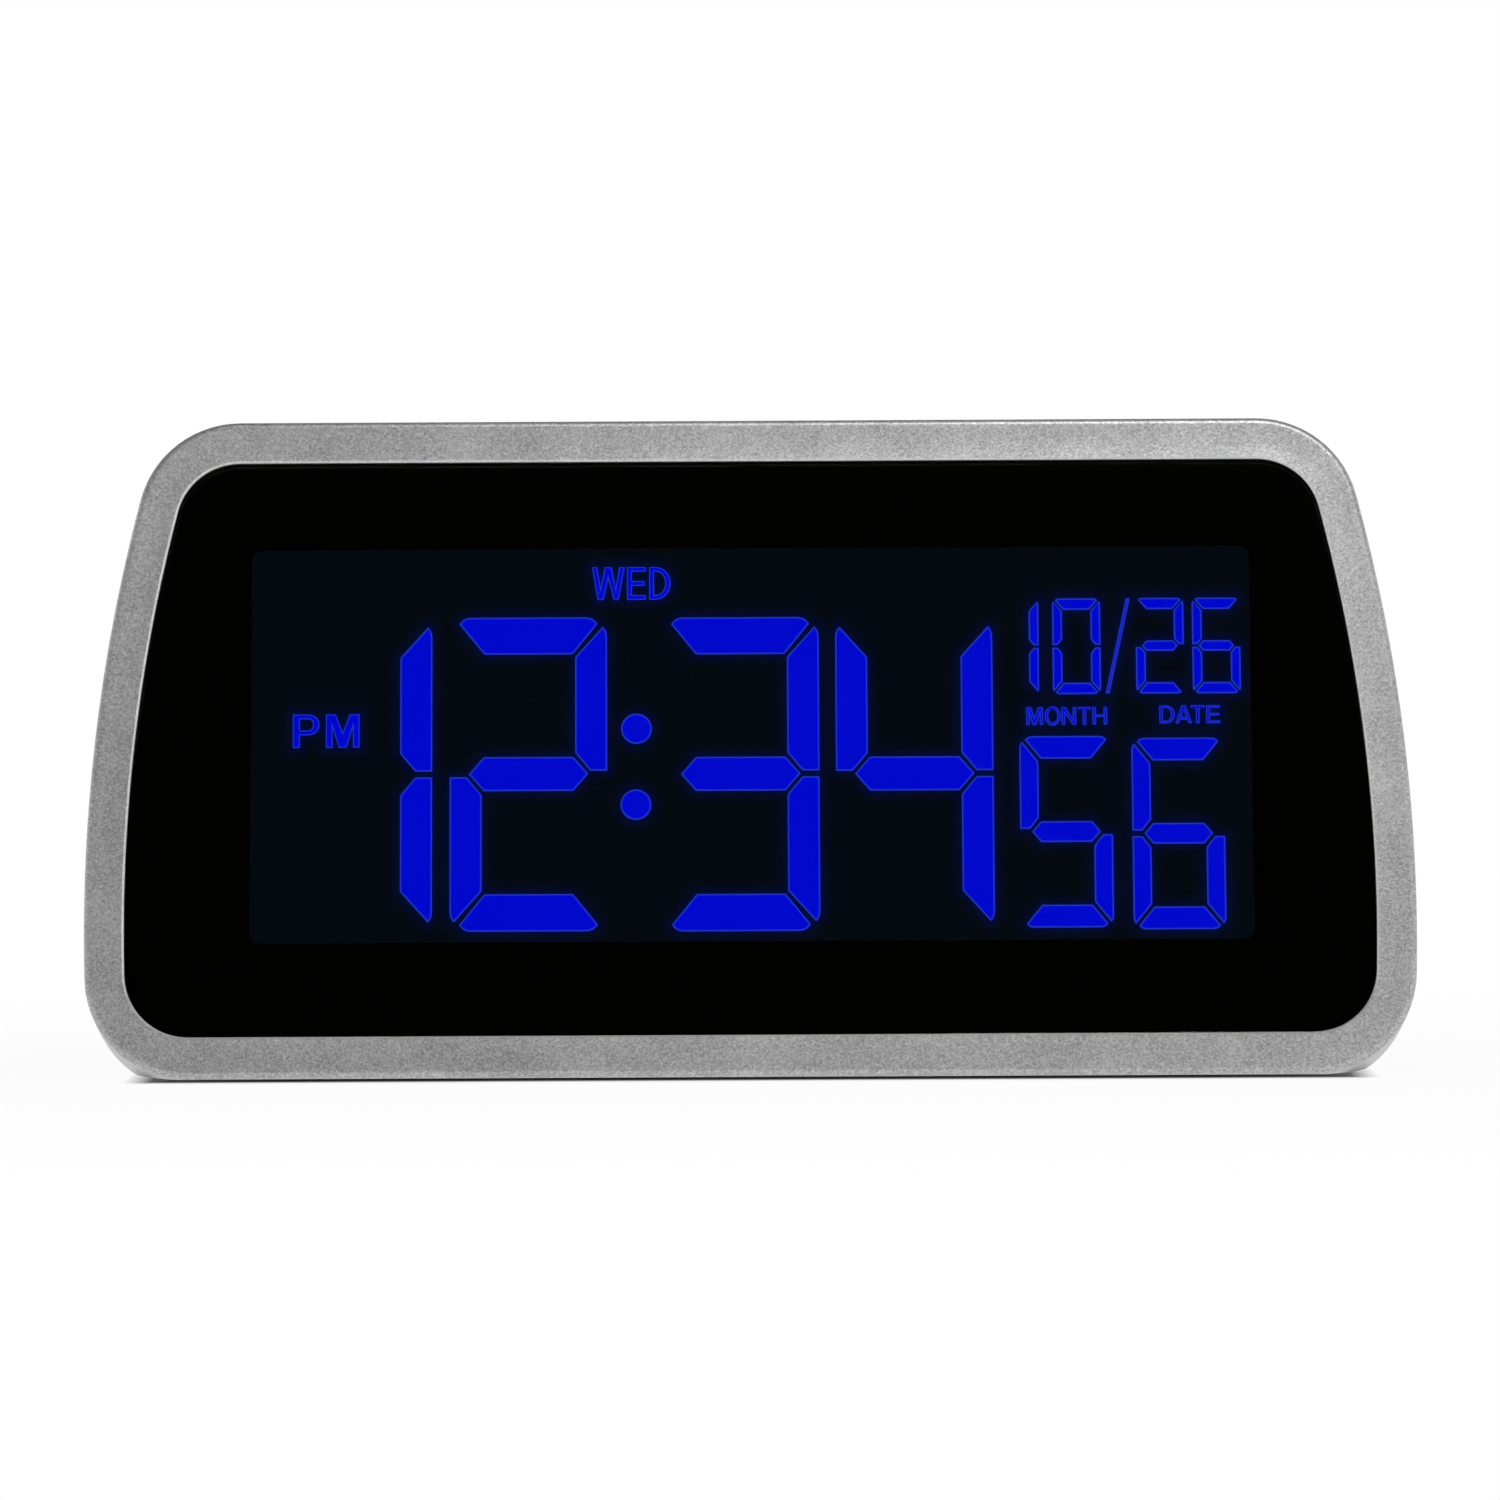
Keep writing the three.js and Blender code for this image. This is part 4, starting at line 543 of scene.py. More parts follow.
def digit_bars(width, height, gap):
    """The seven bars of one digit as outlines in a cell that starts at 0, 0."""
    upright = width * BAR_UPRIGHT
    level = height * BAR_LEVEL
    half = height * BAR_HALF
    mid = height / 2
    mitre = upright * 0.53
    small = upright * 0.13
    short = upright * 0.21
    even = upright * 0.3
    long = upright * 0.66
    inner = upright + 0.85 * gap
    tip, root = mitre + 0.7 * gap, upright + 0.7 * gap
    bars = {
        "a": [*eased((even, height - short), (even + small, height), (long, height)),
              *eased((width - long, height), (width - even - small, height), (width - even, height - short)),
              (width - inner, height - level), (inner, height - level)],
        "b": [*eased((width - small, height - even), (width, height - even - small), (width, height - long)),
              (width, mid + gap), (width - mitre, mid + gap), (width - upright, mid + half + 1.3 * gap),
              (width - upright, height - level - gap)],
        "g": [(tip, mid), (root, mid + half), (width - root, mid + half), (width - tip, mid),
              (width - root, mid - half), (root, mid - half)],
    }
    bars["c"] = [(x, height - y) for x, y in bars["b"]]
    bars["d"] = [(x, height - y) for x, y in bars["a"]]
    bars["e"] = [(width - x, y) for x, y in bars["c"]]
    bars["f"] = [(width - x, y) for x, y in bars["b"]]
    return bars


LIT_BARS = {0: "abcdef", 1: "bc", 2: "abged", 3: "abgcd", 4: "fgbc", 5: "afgcd", 6: "afgedc"}
# Width, height and half the gap between two bars
BIG_DIGIT = (22.55, 45.7, 0.44)
SMALL_DIGIT = (13.25, 27.8, 0.42)
DATE_DIGIT = (6.9, 14, 0.2)
# Each digit: its bars, its size, its right edge and its base on the face
READOUT_DIGITS = [
    (1, BIG_DIGIT, -45.48, 21.4), (2, BIG_DIGIT, -20.4, 21.4), (3, BIG_DIGIT, 10, 21.3),
    (4, BIG_DIGIT, 34.93, 21.22), (5, SMALL_DIGIT, 51.92, 21.6), (6, SMALL_DIGIT, 67.97, 21.27),
    (1, DATE_DIGIT, 41.6, 55.5), (0, DATE_DIGIT, 50.48, 55.52), (2, DATE_DIGIT, 62.45, 55.55),
    (6, DATE_DIGIT, 70.56, 55.54)]
lit_outlines = []
for digit, (width, height, gap), right, base in READOUT_DIGITS:
    bars = digit_bars(width, height, gap)
    for name in LIT_BARS[digit]:
        lit_outlines.append([(right - width + x, base + y) for x, y in bars[name]])
lit_outlines += [circle(x, up, COLON_RADIUS, 28) for x, up in COLON]
lit_outlines.append(SLASH)


def lit_blue(name, color):
    """Even blue light, faintly uneven as a diffusing film leaves it."""
    material, light = new_finish(name)
    film = light.grain(6, 2)
    glow = light.mix(light.level(film, 0.3, 0.7), color, tuple(0.97 * part for part in color))
    light.surface(Base_Color=grey(0.002), Roughness=0.6, Specular_IOR_Level=0.02, Emission_Color=glow,
                  Emission_Strength=1.0)
    return material


core_blue = lit_blue("lit_core", (0.0, 0.0015, 0.68, 1))
edge_blue = lit_blue("lit_edge", (0.016, 0.036, 0.54, 1))


def lit_shapes(name, outlines, rim):
    """Flat outlines filled, some with holes, each with its rim, as thin closed plates on the cell."""
    bpy.ops.object.select_all(action="DESELECT")
    bpy.ops.curve.primitive_bezier_circle_add()
    drawing = bpy.context.object
    drawing.data.dimensions = "2D"
    drawing.data.fill_mode = "BOTH"
    drawing.data.splines.clear()
    for outline in outlines:
        line = drawing.data.splines.new("POLY")
        line.points.add(len(outline) - 1)
        for point, (x, y) in zip(line.points, outline):
            point.co = (x, y, 0, 1)
        line.use_cyclic_u = True
    bpy.ops.object.convert(target="MESH")
    plates = added(name)
    for vertex in plates.data.vertices:
        vertex.co = (FACE @ Vector((vertex.co.x, vertex.co.y, LIT_PROUD - LIT_DEPTH))) * MM
    plates.data.materials.clear()
    plates.data.materials.append(core_blue)
    plates.data.materials.append(edge_blue)
    with edit_mode():
        bpy.ops.mesh.remove_doubles(threshold=0.0001 * MM)
        plates.active_material_index = 1
        bpy.ops.object.material_slot_assign()
        bpy.ops.mesh.inset(thickness=rim * MM, use_even_offset=True)
        plates.active_material_index = 0
        bpy.ops.object.material_slot_assign()
        bpy.ops.mesh.select_all(action="SELECT")
        bpy.ops.mesh.extrude_region_move(TRANSFORM_OT_translate={"value": -LIT_PROUD * MM * face_normal})
    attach(plates, "clock")
    return plates


lit_digits = lit_shapes("lit_digits", lit_outlines, LIT_RIM)

# Lit words. The same kind of windows, in plain bold capitals, each drawn one unit high at its own width
# and stem and set in its place on the face.
BAR = 0.14


def bowl(x, y, across, up, steps=12):
    """The round side of a letter, from its foot to its top."""
    turns = [math.pi * i / steps - math.pi / 2 for i in range(steps + 1)]
    return [(x + across * math.cos(turn), y + up * math.sin(turn)) for turn in turns]


def ring(x, y, across, up):
    return [(x + across * px, y + up * py) for px, py in circle(0, 0, 1, 28)]


def capital(letter, w, s):
    """The outlines of a capital of a width and a stem, one unit high."""
    c = w / 2
    low, high = 0.5 - BAR / 2, 0.5 + BAR / 2
    lean = c - 0.6 * s
    k = w / 1.02
    return {
        "A": [[(0, 0), (s, 0), (s + 0.2 * lean, 0.2), (w - s - 0.2 * lean, 0.2), (w - s, 0), (w, 0),
               (c + 0.6 * s, 1), (c - 0.6 * s, 1)],
              [(s + 0.36 * lean, 0.36), (w - s - 0.36 * lean, 0.36), (c, (c - s) / lean)]],
        "D": [[(0, 0), *bowl(w - 0.45, 0.5, 0.45, 0.5), (0, 1)],
              [(s, BAR), *bowl(w - 0.45, 0.5, 0.45 - 1.1 * s, 0.5 - BAR), (s, 1 - BAR)]],
        "E": [[(0, 0), (w, 0), (w, BAR), (s, BAR), (s, low), (w - 0.04, low), (w - 0.04, high), (s, high),
               (s, 1 - BAR), (w, 1 - BAR), (w, 1), (0, 1)]],
        "H": [[(0, 0), (s, 0), (s, low), (w - s, low), (w - s, 0), (w, 0), (w, 1), (w - s, 1), (w - s, high),
               (s, high), (s, 1), (0, 1)]],
        "M": [[(0, 0), (0.95 * s, 0), (0.95 * s, 0.6), (c - 0.55 * s, 0), (c + 0.55 * s, 0),
               (w - 0.95 * s, 0.6), (w - 0.95 * s, 0), (w, 0), (w, 1), (w - 1.4 * s, 1), (c, 0.45),
               (1.4 * s, 1), (0, 1)]],
        "N": [[(0, 0), (s, 0), (s, 0.66), (w - 1.1 * s, 0), (w, 0), (w, 1), (w - s, 1), (w - s, 0.34),
               (1.1 * s, 1), (0, 1)]],
        "O": [ring(c, 0.5, c, 0.54), ring(c, 0.5, c - s, 0.52 - BAR)],
        "P": [[(0, 0), (s, 0), (s, 0.38), *bowl(w - 0.31, 0.69, 0.31, 0.31), (0, 1)],
              [(s, 0.38 + BAR), *bowl(w - 0.31, 0.69, 0.31 - 0.92 * s, 0.31 - BAR), (s, 1 - BAR)]],
        "T": [[(c - s / 2, 0), (c + s / 2, 0), (c + s / 2, 1 - BAR), (w, 1 - BAR), (w, 1), (0, 1),
               (0, 1 - BAR), (c - s / 2, 1 - BAR)]],
        "W": [[(0, 1), (0.172 * k, 0), (0.355 * k, 0), (0.506 * k, 0.645), (0.678 * k, 0), (0.83 * k, 0),
               (1.02 * k, 1), (0.85 * k, 1), (0.742 * k, 0.366), (0.613 * k, 1), (0.398 * k, 1),
               (0.269 * k, 0.366), (0.16 * k, 1)]],
    }[letter]


# Each word: its base, its height, its stem, and the sides of its letters
READOUT_WORDS = [
    ("WED", 69.65, 4.8, 0.145, [(-22.52, -17.84), (-17.49, -14.82), (-14.32, -11.22)]),
    ("PM", 48.22, 4.86, 0.205, [(-65.45, -61.65), (-60.71, -55.9)]),
    ("MONTH", 51.05, 2.58, 0.19, [(39.7, 42.1), (42.34, 44.66), (44.8, 46.87), (47.12, 48.99), (49.2, 51.3)]),
    ("DATE", 51.19, 2.6, 0.19, [(58.8, 61), (61.1, 63.45), (63.3, 65.3), (65.53, 67.5)])]
WORD_RIM = 0.12
word_outlines = []
for word, base, height, stem, places in READOUT_WORDS:
    for letter, (left, right) in zip(word, places):
        for shape in capital(letter, (right - left) / height, stem):
            word_outlines.append([(left + height * x, base + height * y) for x, y in shape])
lit_words = lit_shapes("lit_words", word_outlines, WORD_RIM)

# Display cell. Two sheets of glass with the liquid crystal between them and dark polarising films
# outside. It drops through the frame's plate, its front close behind the printed sheet.
LCD_FRONT = 3.5
LCD_BACK = 5.7
GLOW_STEP = 0.5
GLOW_REACH = 2.0
GLOW_STOPS = [
    (0.0, (0.0, 0.0048, 0.16)), (0.06, (0.0, 0.0042, 0.08)), (0.13, (0.0003, 0.0038, 0.045)),
    (0.2, (0.0006, 0.0032, 0.031)), (0.28, (0.0012, 0.0034, 0.026)), (0.4, (0.0014, 0.0037, 0.02)),
    (0.55, (0.0012, 0.0034, 0.0145)), (0.75, (0.0012, 0.0032, 0.009)), (1.0, (0.0013, 0.003, 0.0058))]


def display_glass():
    material, glass = new_finish("display_glass")
    spread = glass.node("ShaderNodeAttribute", {"attribute_name": "glow"}, {}, "Fac")
    glow = glass.ramp(spread, GLOW_STOPS)
    fine = glass.grain(0.3, 2)
    broad = glass.grain(7, 2)
    dark = glass.level(fine * 0.6 + broad * 0.4, 0.25, 0.75)
    color = glass.mix(dark * 0.45, glow, (0.0004, 0.0009, 0.0016, 1))
    glass.surface(Base_Color=grey(0.001), Roughness=glass.level(fine, 0.3, 0.7, 0.2, 0.3),
                  Specular_IOR_Level=0.02, Emission_Color=color, Emission_Strength=1.0)
    return material


lit_faces = []
lit_points = []
for piece in (lit_digits, lit_words):
    start = len(lit_points)
    lit_points += [vertex.co.copy() for vertex in piece.data.vertices]
    lit_faces += [[start + corner for corner in face.vertices] for face in piece.data.polygons]
lit_tree = BVHTree.FromPolygons(lit_points, lit_faces)

bpy.ops.object.select_all(action="DESELECT")
across = round(2 * lcd_half / GLOW_STEP)
up = round((LCD_HIGH - LCD_LOW) / GLOW_STEP)
bpy.ops.mesh.primitive_grid_add(x_subdivisions=across, y_subdivisions=up, size=1)
display_cell = added("display_cell")
for vertex in display_cell.data.vertices:
    x = vertex.co.x * 2 * lcd_half
    y = (LCD_LOW + LCD_HIGH) / 2 + vertex.co.y * (LCD_HIGH - LCD_LOW)
    vertex.co = (FACE @ Vector((x, y, -LCD_FRONT))) * MM
glow = display_cell.data.attributes.new("glow", "FLOAT", "POINT")
for vertex, value in zip(display_cell.data.vertices, glow.data):
    distance = lit_tree.find_nearest(vertex.co)[3]
    value.value = min(1, distance / (GLOW_REACH * MM))
with edit_mode():
    bpy.ops.mesh.region_to_loop()
    sink = -(LCD_BACK - LCD_FRONT) * MM * face_normal
    bpy.ops.mesh.extrude_edges_move(TRANSFORM_OT_translate={"value": sink})
    bpy.ops.mesh.edge_face_add()
display_cell.data.materials.append(display_glass())
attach(display_cell, "clock")
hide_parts("lcd_panel")

# Backlight. An acrylic guide with a film of white dots spreads the light of two rows of lamps, and a
# white film behind it sends the light forward. A moulded white tray holds them behind the cell, and a
# striped rubber connector joins the cell to the board.


def dress(material, *names):
    """Gives nodes that stay as they are a finish of their own."""
    for name in names:
        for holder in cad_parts[name].material_slots:
            holder.material = material


def dotted_guide():
    material, guide = new_finish("light_guide_acrylic")
    dots = guide.level(guide.cells(1.1, "Distance"), 0.25, 0.3)
    color = guide.mix(dots, (0.05, 0.09, 0.75, 1), (0.0, 0.006, 0.62, 1))
    guide.surface(Base_Color=color, Roughness=guide.level(dots, 0, 1, 0.5, 0.25))
    return material


def white_plastic(name="white_plastic", light=0.78, dark=0.7):
    material, plastic = new_finish(name)
    texture = plastic.grain(0.5, 3)
    cloud = plastic.grain(12, 2)
    color = plastic.mix(plastic.level(cloud, 0.3, 0.7), (light, light, light * 0.97, 1),
                        (dark, dark, dark * 0.96, 1))
    plastic.surface(Base_Color=color, Roughness=plastic.level(texture, 0.3, 0.7, 0.5, 0.62),
                    Normal=plastic.bump(texture, 0.015))
    return material


def striped_rubber():
    material, rubber = new_finish("zebra_rubber")
    bands = rubber.level(rubber.stripes(320), 0.4, 0.6)
    color = rubber.mix(bands, (0.012, 0.012, 0.013, 1), (0.2, 0.2, 0.21, 1))
    rubber.surface(Base_Color=color, Roughness=rubber.level(rubber.grain(0.5), 0.3, 0.7, 0.75, 0.9))
    return material


dress(dotted_guide(), "light_guide")
dress(white_plastic(), "lcd_holder")
dress(white_plastic("reflector_film", 0.85, 0.8), "reflector_sheet")
dress(white_plastic("led_strip_board", 0.74, 0.62), "led_board_left", "led_board_right")
dress(striped_rubber(), "zebra_strip")

# Boards. Glass-fibre board under green solder resist, with copper tracks that show paler through it. The
# controller and the switches are moulded in black resin, the crystal sits in a drawn steel can, and
# nickel-plated screws hold the boards to their posts.


def green_board():
    material, board = new_finish("green_board")
    tracks = board.node("ShaderNodeTexBrick", {"offset": 0.35, "squash": 0.6, "squash_frequency": 3}, {
        "Vector": board.object_place(), "Scale": 220, "Mortar Size": 0.06, "Mortar Smooth": 0.1,
        "Brick Width": 1.7, "Row Height": 0.35}, "Fac")
    weave = board.grain(0.8, 2)
    resist = board.ramp(weave, [(0.3, (0.008, 0.075, 0.026)), (0.7, (0.013, 0.105, 0.038))])
    color = board.mix(tracks * 0.8, resist, (0.03, 0.2, 0.075, 1))
    board.surface(Base_Color=color, Roughness=board.level(weave, 0.3, 0.7, 0.35, 0.5),
                  Normal=board.bump(tracks, 0.03))
    return material


def nickel_plating():
    """Bright plating with fine random scuffs and duller patches."""
    material, plating = new_finish("nickel_plating")
    scuffs = plating.grain(0.3, 4, 0.7)
    patches = plating.grain(2.5, 2)
    shade = plating.mix(plating.level(patches, 0.35, 0.7), (0.56, 0.57, 0.58, 1), (0.42, 0.42, 0.43, 1))
    plating.surface(Base_Color=shade, Metallic=1.0, Roughness=plating.level(scuffs, 0.3, 0.7, 0.2, 0.38),
                    Normal=plating.bump(scuffs, 0.003))
    return material


nickel = nickel_plating()
resin_black = mottled("black_resin", (0.25, 3), (0.006, 0.006, 0.0065), (0.012, 0.012, 0.0125), (0.45, 0.65),
                      depth=0.01)
dress(green_board(), "main_board", "key_board", "snooze_board")
dress(resin_black, "controller_chip", "snooze_switch", *[f"push_switch_{i}" for i in range(1, 6)])
dress(nickel, "crystal_can", "alarm_switch_body", "dimmer_switch_body", "key_board_screw_1",
      "key_board_screw_2", "snooze_screw_1", "snooze_screw_2", *[f"board_screw_{i}" for i in range(1, 5)])

# Rear case. One moulding in dark ABS, spark-eroded to a fine matt grain. Its lip slides inside the frame,
# and it carries the battery bay, the screw wells, the button row, the sounder's slots and the foot
# recesses. Each opening has a small lead-in round its edge.
CASE_FRONT = 13.3
CASE_FOOT = 2.6
CASE_DEPTH = 60
CASE_STEP = 1.8
CASE_WALL = 2.2
BACK_LEAN = math.radians(5)
REAR_ROUND = 6
SIDE_TAPER = 3
LIP_OUTER = 2.45
LIP_FRONT = 9.8
REAR_STEPS = 8
HOLE_EDGE = 0.3
SNOOZE_BEHIND = 20.6

OUT = Matrix.Diagonal((1, 1, -1, 1))
# The back wall: x across, y up the wall, z out of it
BACK = Matrix.Translation((0, CASE_DEPTH + face_y, CASE_FOOT)) @ Matrix.Rotation(
    math.pi / 2 + BACK_LEAN, 4, "X") @ OUT
# The top wall: x across, y towards the face, z out of it
TOP = FACE @ Matrix.Translation((0, FACE_HEIGHT - CASE_STEP, -SNOOZE_BEHIND)) @ Matrix.Rotation(
    math.pi / 2, 4, "X") @ OUT
# The table: x across, y back from the foot of the face, z up
TABLE = Matrix.Translation((0, face_y, 0))


def dark_plastic():
    material, plastic = new_finish("matt_dark_plastic")
    texture = plastic.grain(0.38, 4, 0.6)
    rubbed = plastic.grain(16, 3)
    tone = plastic.ramp(texture * 0.5 + rubbed * 0.5,
                        [(0.3, (0.0195, 0.02, 0.0215)), (0.7, (0.027, 0.0275, 0.029))])
    plastic.surface(Base_Color=tone, Roughness=plastic.level(rubbed, 0.3, 0.7, 0.54, 0.66),
                    Normal=plastic.bump(texture, 0.03))
    return material


def case_ring(depth_at, insets):
    """One ring of the case: the face outline drawn in, carried level to a depth."""
    ring = []
    for x, y in face_outline(**insets):
        z = face_foot + y * cos_tilt - CASE_FRONT * sin_tilt
        ring.append(Vector((x, face_y + depth_at(z), z)) * MM)
    return ring


def between(first, second, share):
    return [a.lerp(b, share) for a, b in zip(first, second)]


def case_form(wall):
    """Rings of the case's form drawn in by a wall, from its front edge to its rounded back."""
    side = CASE_STEP + wall
    foot = height_up_face(CASE_FOOT, CASE_FRONT) + wall / cos_tilt
    rounding = REAR_ROUND - wall
    depth_behind = CASE_DEPTH - wall / math.cos(BACK_LEAN)
    lean = math.tan(BACK_LEAN)
    tilt = math.tan(FACE_TILT)
    top_z = face_foot + (FACE_HEIGHT - side) * cos_tilt - CASE_FRONT * sin_tilt
    top_depth = depth_at_level(top_z, CASE_FRONT)
    back_top_z = (top_z - (depth_behind + CASE_FOOT * lean - rounding - top_depth) * tilt) / (1 - lean * tilt)
    top_inset = side + (top_z - back_top_z) / cos_tilt
    rings = [case_ring(lambda z: depth_at_level(z, CASE_FRONT), {"side": side, "top": side, "foot": foot})]
    for step in range(REAR_STEPS + 1):
        turn = math.pi / 2 * step / REAR_STEPS
        draw = rounding * (1 - math.cos(turn))
        insets = {
            "side": side + SIDE_TAPER + draw, "top": top_inset + draw, "foot": foot + draw,
            "top_corner": TOP_CORNER - CASE_STEP - wall - draw / 2,
            "foot_corner": BOTTOM_CORNER - CASE_STEP - wall - draw / 2}
        rings.append(case_ring(
            lambda z: depth_behind - (z - CASE_FOOT) * lean - rounding * (1 - math.sin(turn)), insets))
    return [rings[0], *[between(rings[0], rings[1], share) for share in (0.25, 0.5, 0.75)], *rings[1:]]


def lip_ring(inset, depth):
    foot = height_up_face(UNDERSIDE + inset, BEZEL_DEPTH)
    return lay(FACE, face_outline(inset, foot=foot), depth)


def rectangle(x, y, width, height, radius=0.3):
    return rounded_outline(x, y, width, height, radius, 3)


def pill(x, y, length, width, steps=10):
    return rounded_outline(x, y, length, width, width / 2 - 0.01, steps)


def opening(plane, x, y, width, height, radius, depth, steps=3):
    """A cutter for a hole with a small lead-in round its edge."""
    edges = [(HOLE_EDGE + CUT, -CUT), (0, HOLE_EDGE), (0, depth)]
    return sweep("tool", [
        lay(plane, rounded_outline(x, y, width + 2 * grow, height + 2 * grow, radius + grow, steps), level)
        for grow, level in edges])


outer_rings = case_form(0)
case_rings = outer_rings[::-1]
case_rings += [lip_ring(LIP_OUTER, CASE_FRONT), lip_ring(LIP_OUTER, LIP_FRONT + 0.3),
               lip_ring(LIP_OUTER + 0.3, LIP_FRONT), lip_ring(CASE_STEP + CASE_WALL, LIP_FRONT)]
case_rings += case_form(CASE_WALL)
rear_case = sweep("rear_case_shell", case_rings)

WELL_RADIUS = 4.7
WELL_BORE = 2.95
WELL_SEAT = 2.5
WELL_HOLE = 1.65
BAY_LENGTH = 56.3
BAY_HEIGHT = 30.4
BAY_LOW = 10.5
BAY_FLOOR = 16.9
BAY_WALL = 1.8
DOOR_RECESS = 2.1
DOOR_LEDGE = 1.2
ROW_HEIGHT = 60
BUTTON_X = [-34, -17, 0, 17, 34]
BUTTON_HOLE = (9.5, 5.5, 2.74)
ALARM_X = -58
ALARM_TRAVEL = 4
DIMMER_X = 58
DIMMER_TRAVEL = 5
SLOT_LENGTH = 5
SLOT_WIDTH = 4.1
SNOOZE_HOLE = (56.5, 9.5, 4.5)
KEY_POST_X = 45.5
SNOOZE_POST_X = 34.55
POST_RADIUS = 2.3
BOARD_LEVEL = 8.2
SOUNDER = (-56, 27)
SOUNDER_RADIUS = 11.25
SOUNDER_WELL = 5.5
SOUNDER_SLOT = (14, 1.5, 0.74)
SOUNDER_PITCH = 3.2
SOCKET = (56, 22)
SOCKET_HOLE = 4.15
FOOT_X = 68
FOOT_Y = (21.5, 50)
FOOT_HOLE = 5.75
FOOT_RECESS = 0.8
bay_middle = BAY_LOW + BAY_HEIGHT / 2
sounder_end = CASE_WALL + SOUNDER_WELL
wells = [(x, z, depth_at_level(z, POST_JOINT)) for x, z in case_screws]
posts = [(side * KEY_POST_X, ROW_HEIGHT, BACK) for side in (-1, 1)]
posts += [(side * SNOOZE_POST_X, 0, TOP) for side in (-1, 1)]

inside = [rod(x, z, WELL_RADIUS, joint + 0.3, CASE_DEPTH, LEVEL, 40) for x, z, joint in wells]
inside.append(block(BACK, rectangle(0, bay_middle, BAY_LENGTH + 2 * BAY_WALL, BAY_HEIGHT + 2 * BAY_WALL),
                    CASE_WALL / 2, BAY_FLOOR + BAY_WALL))
inside += [rod(x, y, POST_RADIUS, CASE_WALL / 2, BOARD_LEVEL - 0.3, plane) for x, y, plane in posts]
inside.append(rod(*SOUNDER, SOUNDER_RADIUS + 1.6, CASE_WALL / 2, sounder_end, BACK, 48))
inside = joined(inside)
carve(inside, [sweep("tool", outer_rings)], "INTERSECT")
carve(rear_case, [inside], "UNION")

through = CASE_WALL + CUT
first_cut = [rod(x, z, WELL_BORE, joint + WELL_SEAT, CASE_DEPTH + CUT, LEVEL) for x, z, joint in wells]
first_cut.append(opening(BACK, 0, bay_middle, BAY_LENGTH + 2 * DOOR_LEDGE, BAY_HEIGHT + 2 * DOOR_LEDGE, 0.6,
                         DOOR_RECESS))
first_cut += [opening(BACK, x, ROW_HEIGHT, *BUTTON_HOLE, through, 10) for x in BUTTON_X]
first_cut += [opening(BACK, x, ROW_HEIGHT, SLOT_LENGTH + travel, SLOT_WIDTH, 0.3, through)
              for x, travel in ((ALARM_X, ALARM_TRAVEL), (DIMMER_X, DIMMER_TRAVEL))]
first_cut.append(opening(TOP, 0, 0, *SNOOZE_HOLE, through, 12))
first_cut += [opening(BACK, SOUNDER[0], SOUNDER[1] + up * SOUNDER_PITCH, *SOUNDER_SLOT, through, 6)
              for up in range(-2, 3)]
first_cut.append(rod(*SOCKET, SOCKET_HOLE, -CUT, through, BACK))
first_cut += [rod(x, y, FOOT_HOLE, -CASE_FOOT - FOOT_RECESS, CUT, TABLE, 48)
              for x in (-FOOT_X, FOOT_X) for y in FOOT_Y]
carve(rear_case, [joined(first_cut)])
second_cut = [rod(x, z, WELL_HOLE, joint - CUT, joint + WELL_SEAT + CUT, LEVEL) for x, z, joint in wells]
second_cut.append(block(BACK, rectangle(0, bay_middle, BAY_LENGTH, BAY_HEIGHT), DOOR_RECESS - CUT, BAY_FLOOR))
second_cut += [rod(x, y, 1, through, BOARD_LEVEL + CUT, plane) for x, y, plane in posts]
second_cut.append(rod(*SOUNDER, SOUNDER_RADIUS, CASE_WALL, sounder_end + CUT, BACK, 48))
carve(rear_case, [joined(second_cut)])
case_plastic = dark_plastic()
coat(rear_case, case_plastic)
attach(rear_case, "clock")
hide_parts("rear_case")

# Feet. Round pads of black rubber, pressed into recesses in the floor of the case, each with a shallow
# hollow so that only its ring touches the table.
FOOT_TOP = 3.1


def turned(name, plane, x, y, profile, sides=48):
    """A piece turned round an axis square to a plane, from its radii and depths."""
    return sweep(name, [lay(plane, circle(x, y, radius, sides), depth) for radius, depth in profile])


def copied(piece, name, across, back=0, up=0):
    """A copy with its own mesh, moved by millimetres."""
    only(piece)
    bpy.ops.object.duplicate()
    twin = added(name)
    twin.data.transform(Matrix.Translation(Vector((across, back, up)) * MM))
    return twin


foot = turned("foot_pad_1", TABLE, -FOOT_X, FOOT_Y[0], [
    (3.1, -0.35), (3.4, -0.05), (3.6, 0), (4.9, 0), (5.2, -0.08), (5.4, -0.28), (5.5, -0.6),
    (5.5, -FOOT_TOP + 0.3), (5.2, -FOOT_TOP)])
coat(foot, mottled("foot_rubber", (3, 4, 0.6), (0.009, 0.009, 0.0095), (0.017, 0.017, 0.0175), (0.75, 0.92),
                   pores=(0.3, 2), depth=0.02))
span, reach = 2 * FOOT_X, FOOT_Y[1] - FOOT_Y[0]
feet = [foot, copied(foot, "foot_pad_2", span), copied(foot, "foot_pad_3", 0, reach),
        copied(foot, "foot_pad_4", span, reach)]
for number, foot in enumerate(feet, 1):
    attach(foot, "clock")
    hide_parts(f"foot_{number}")

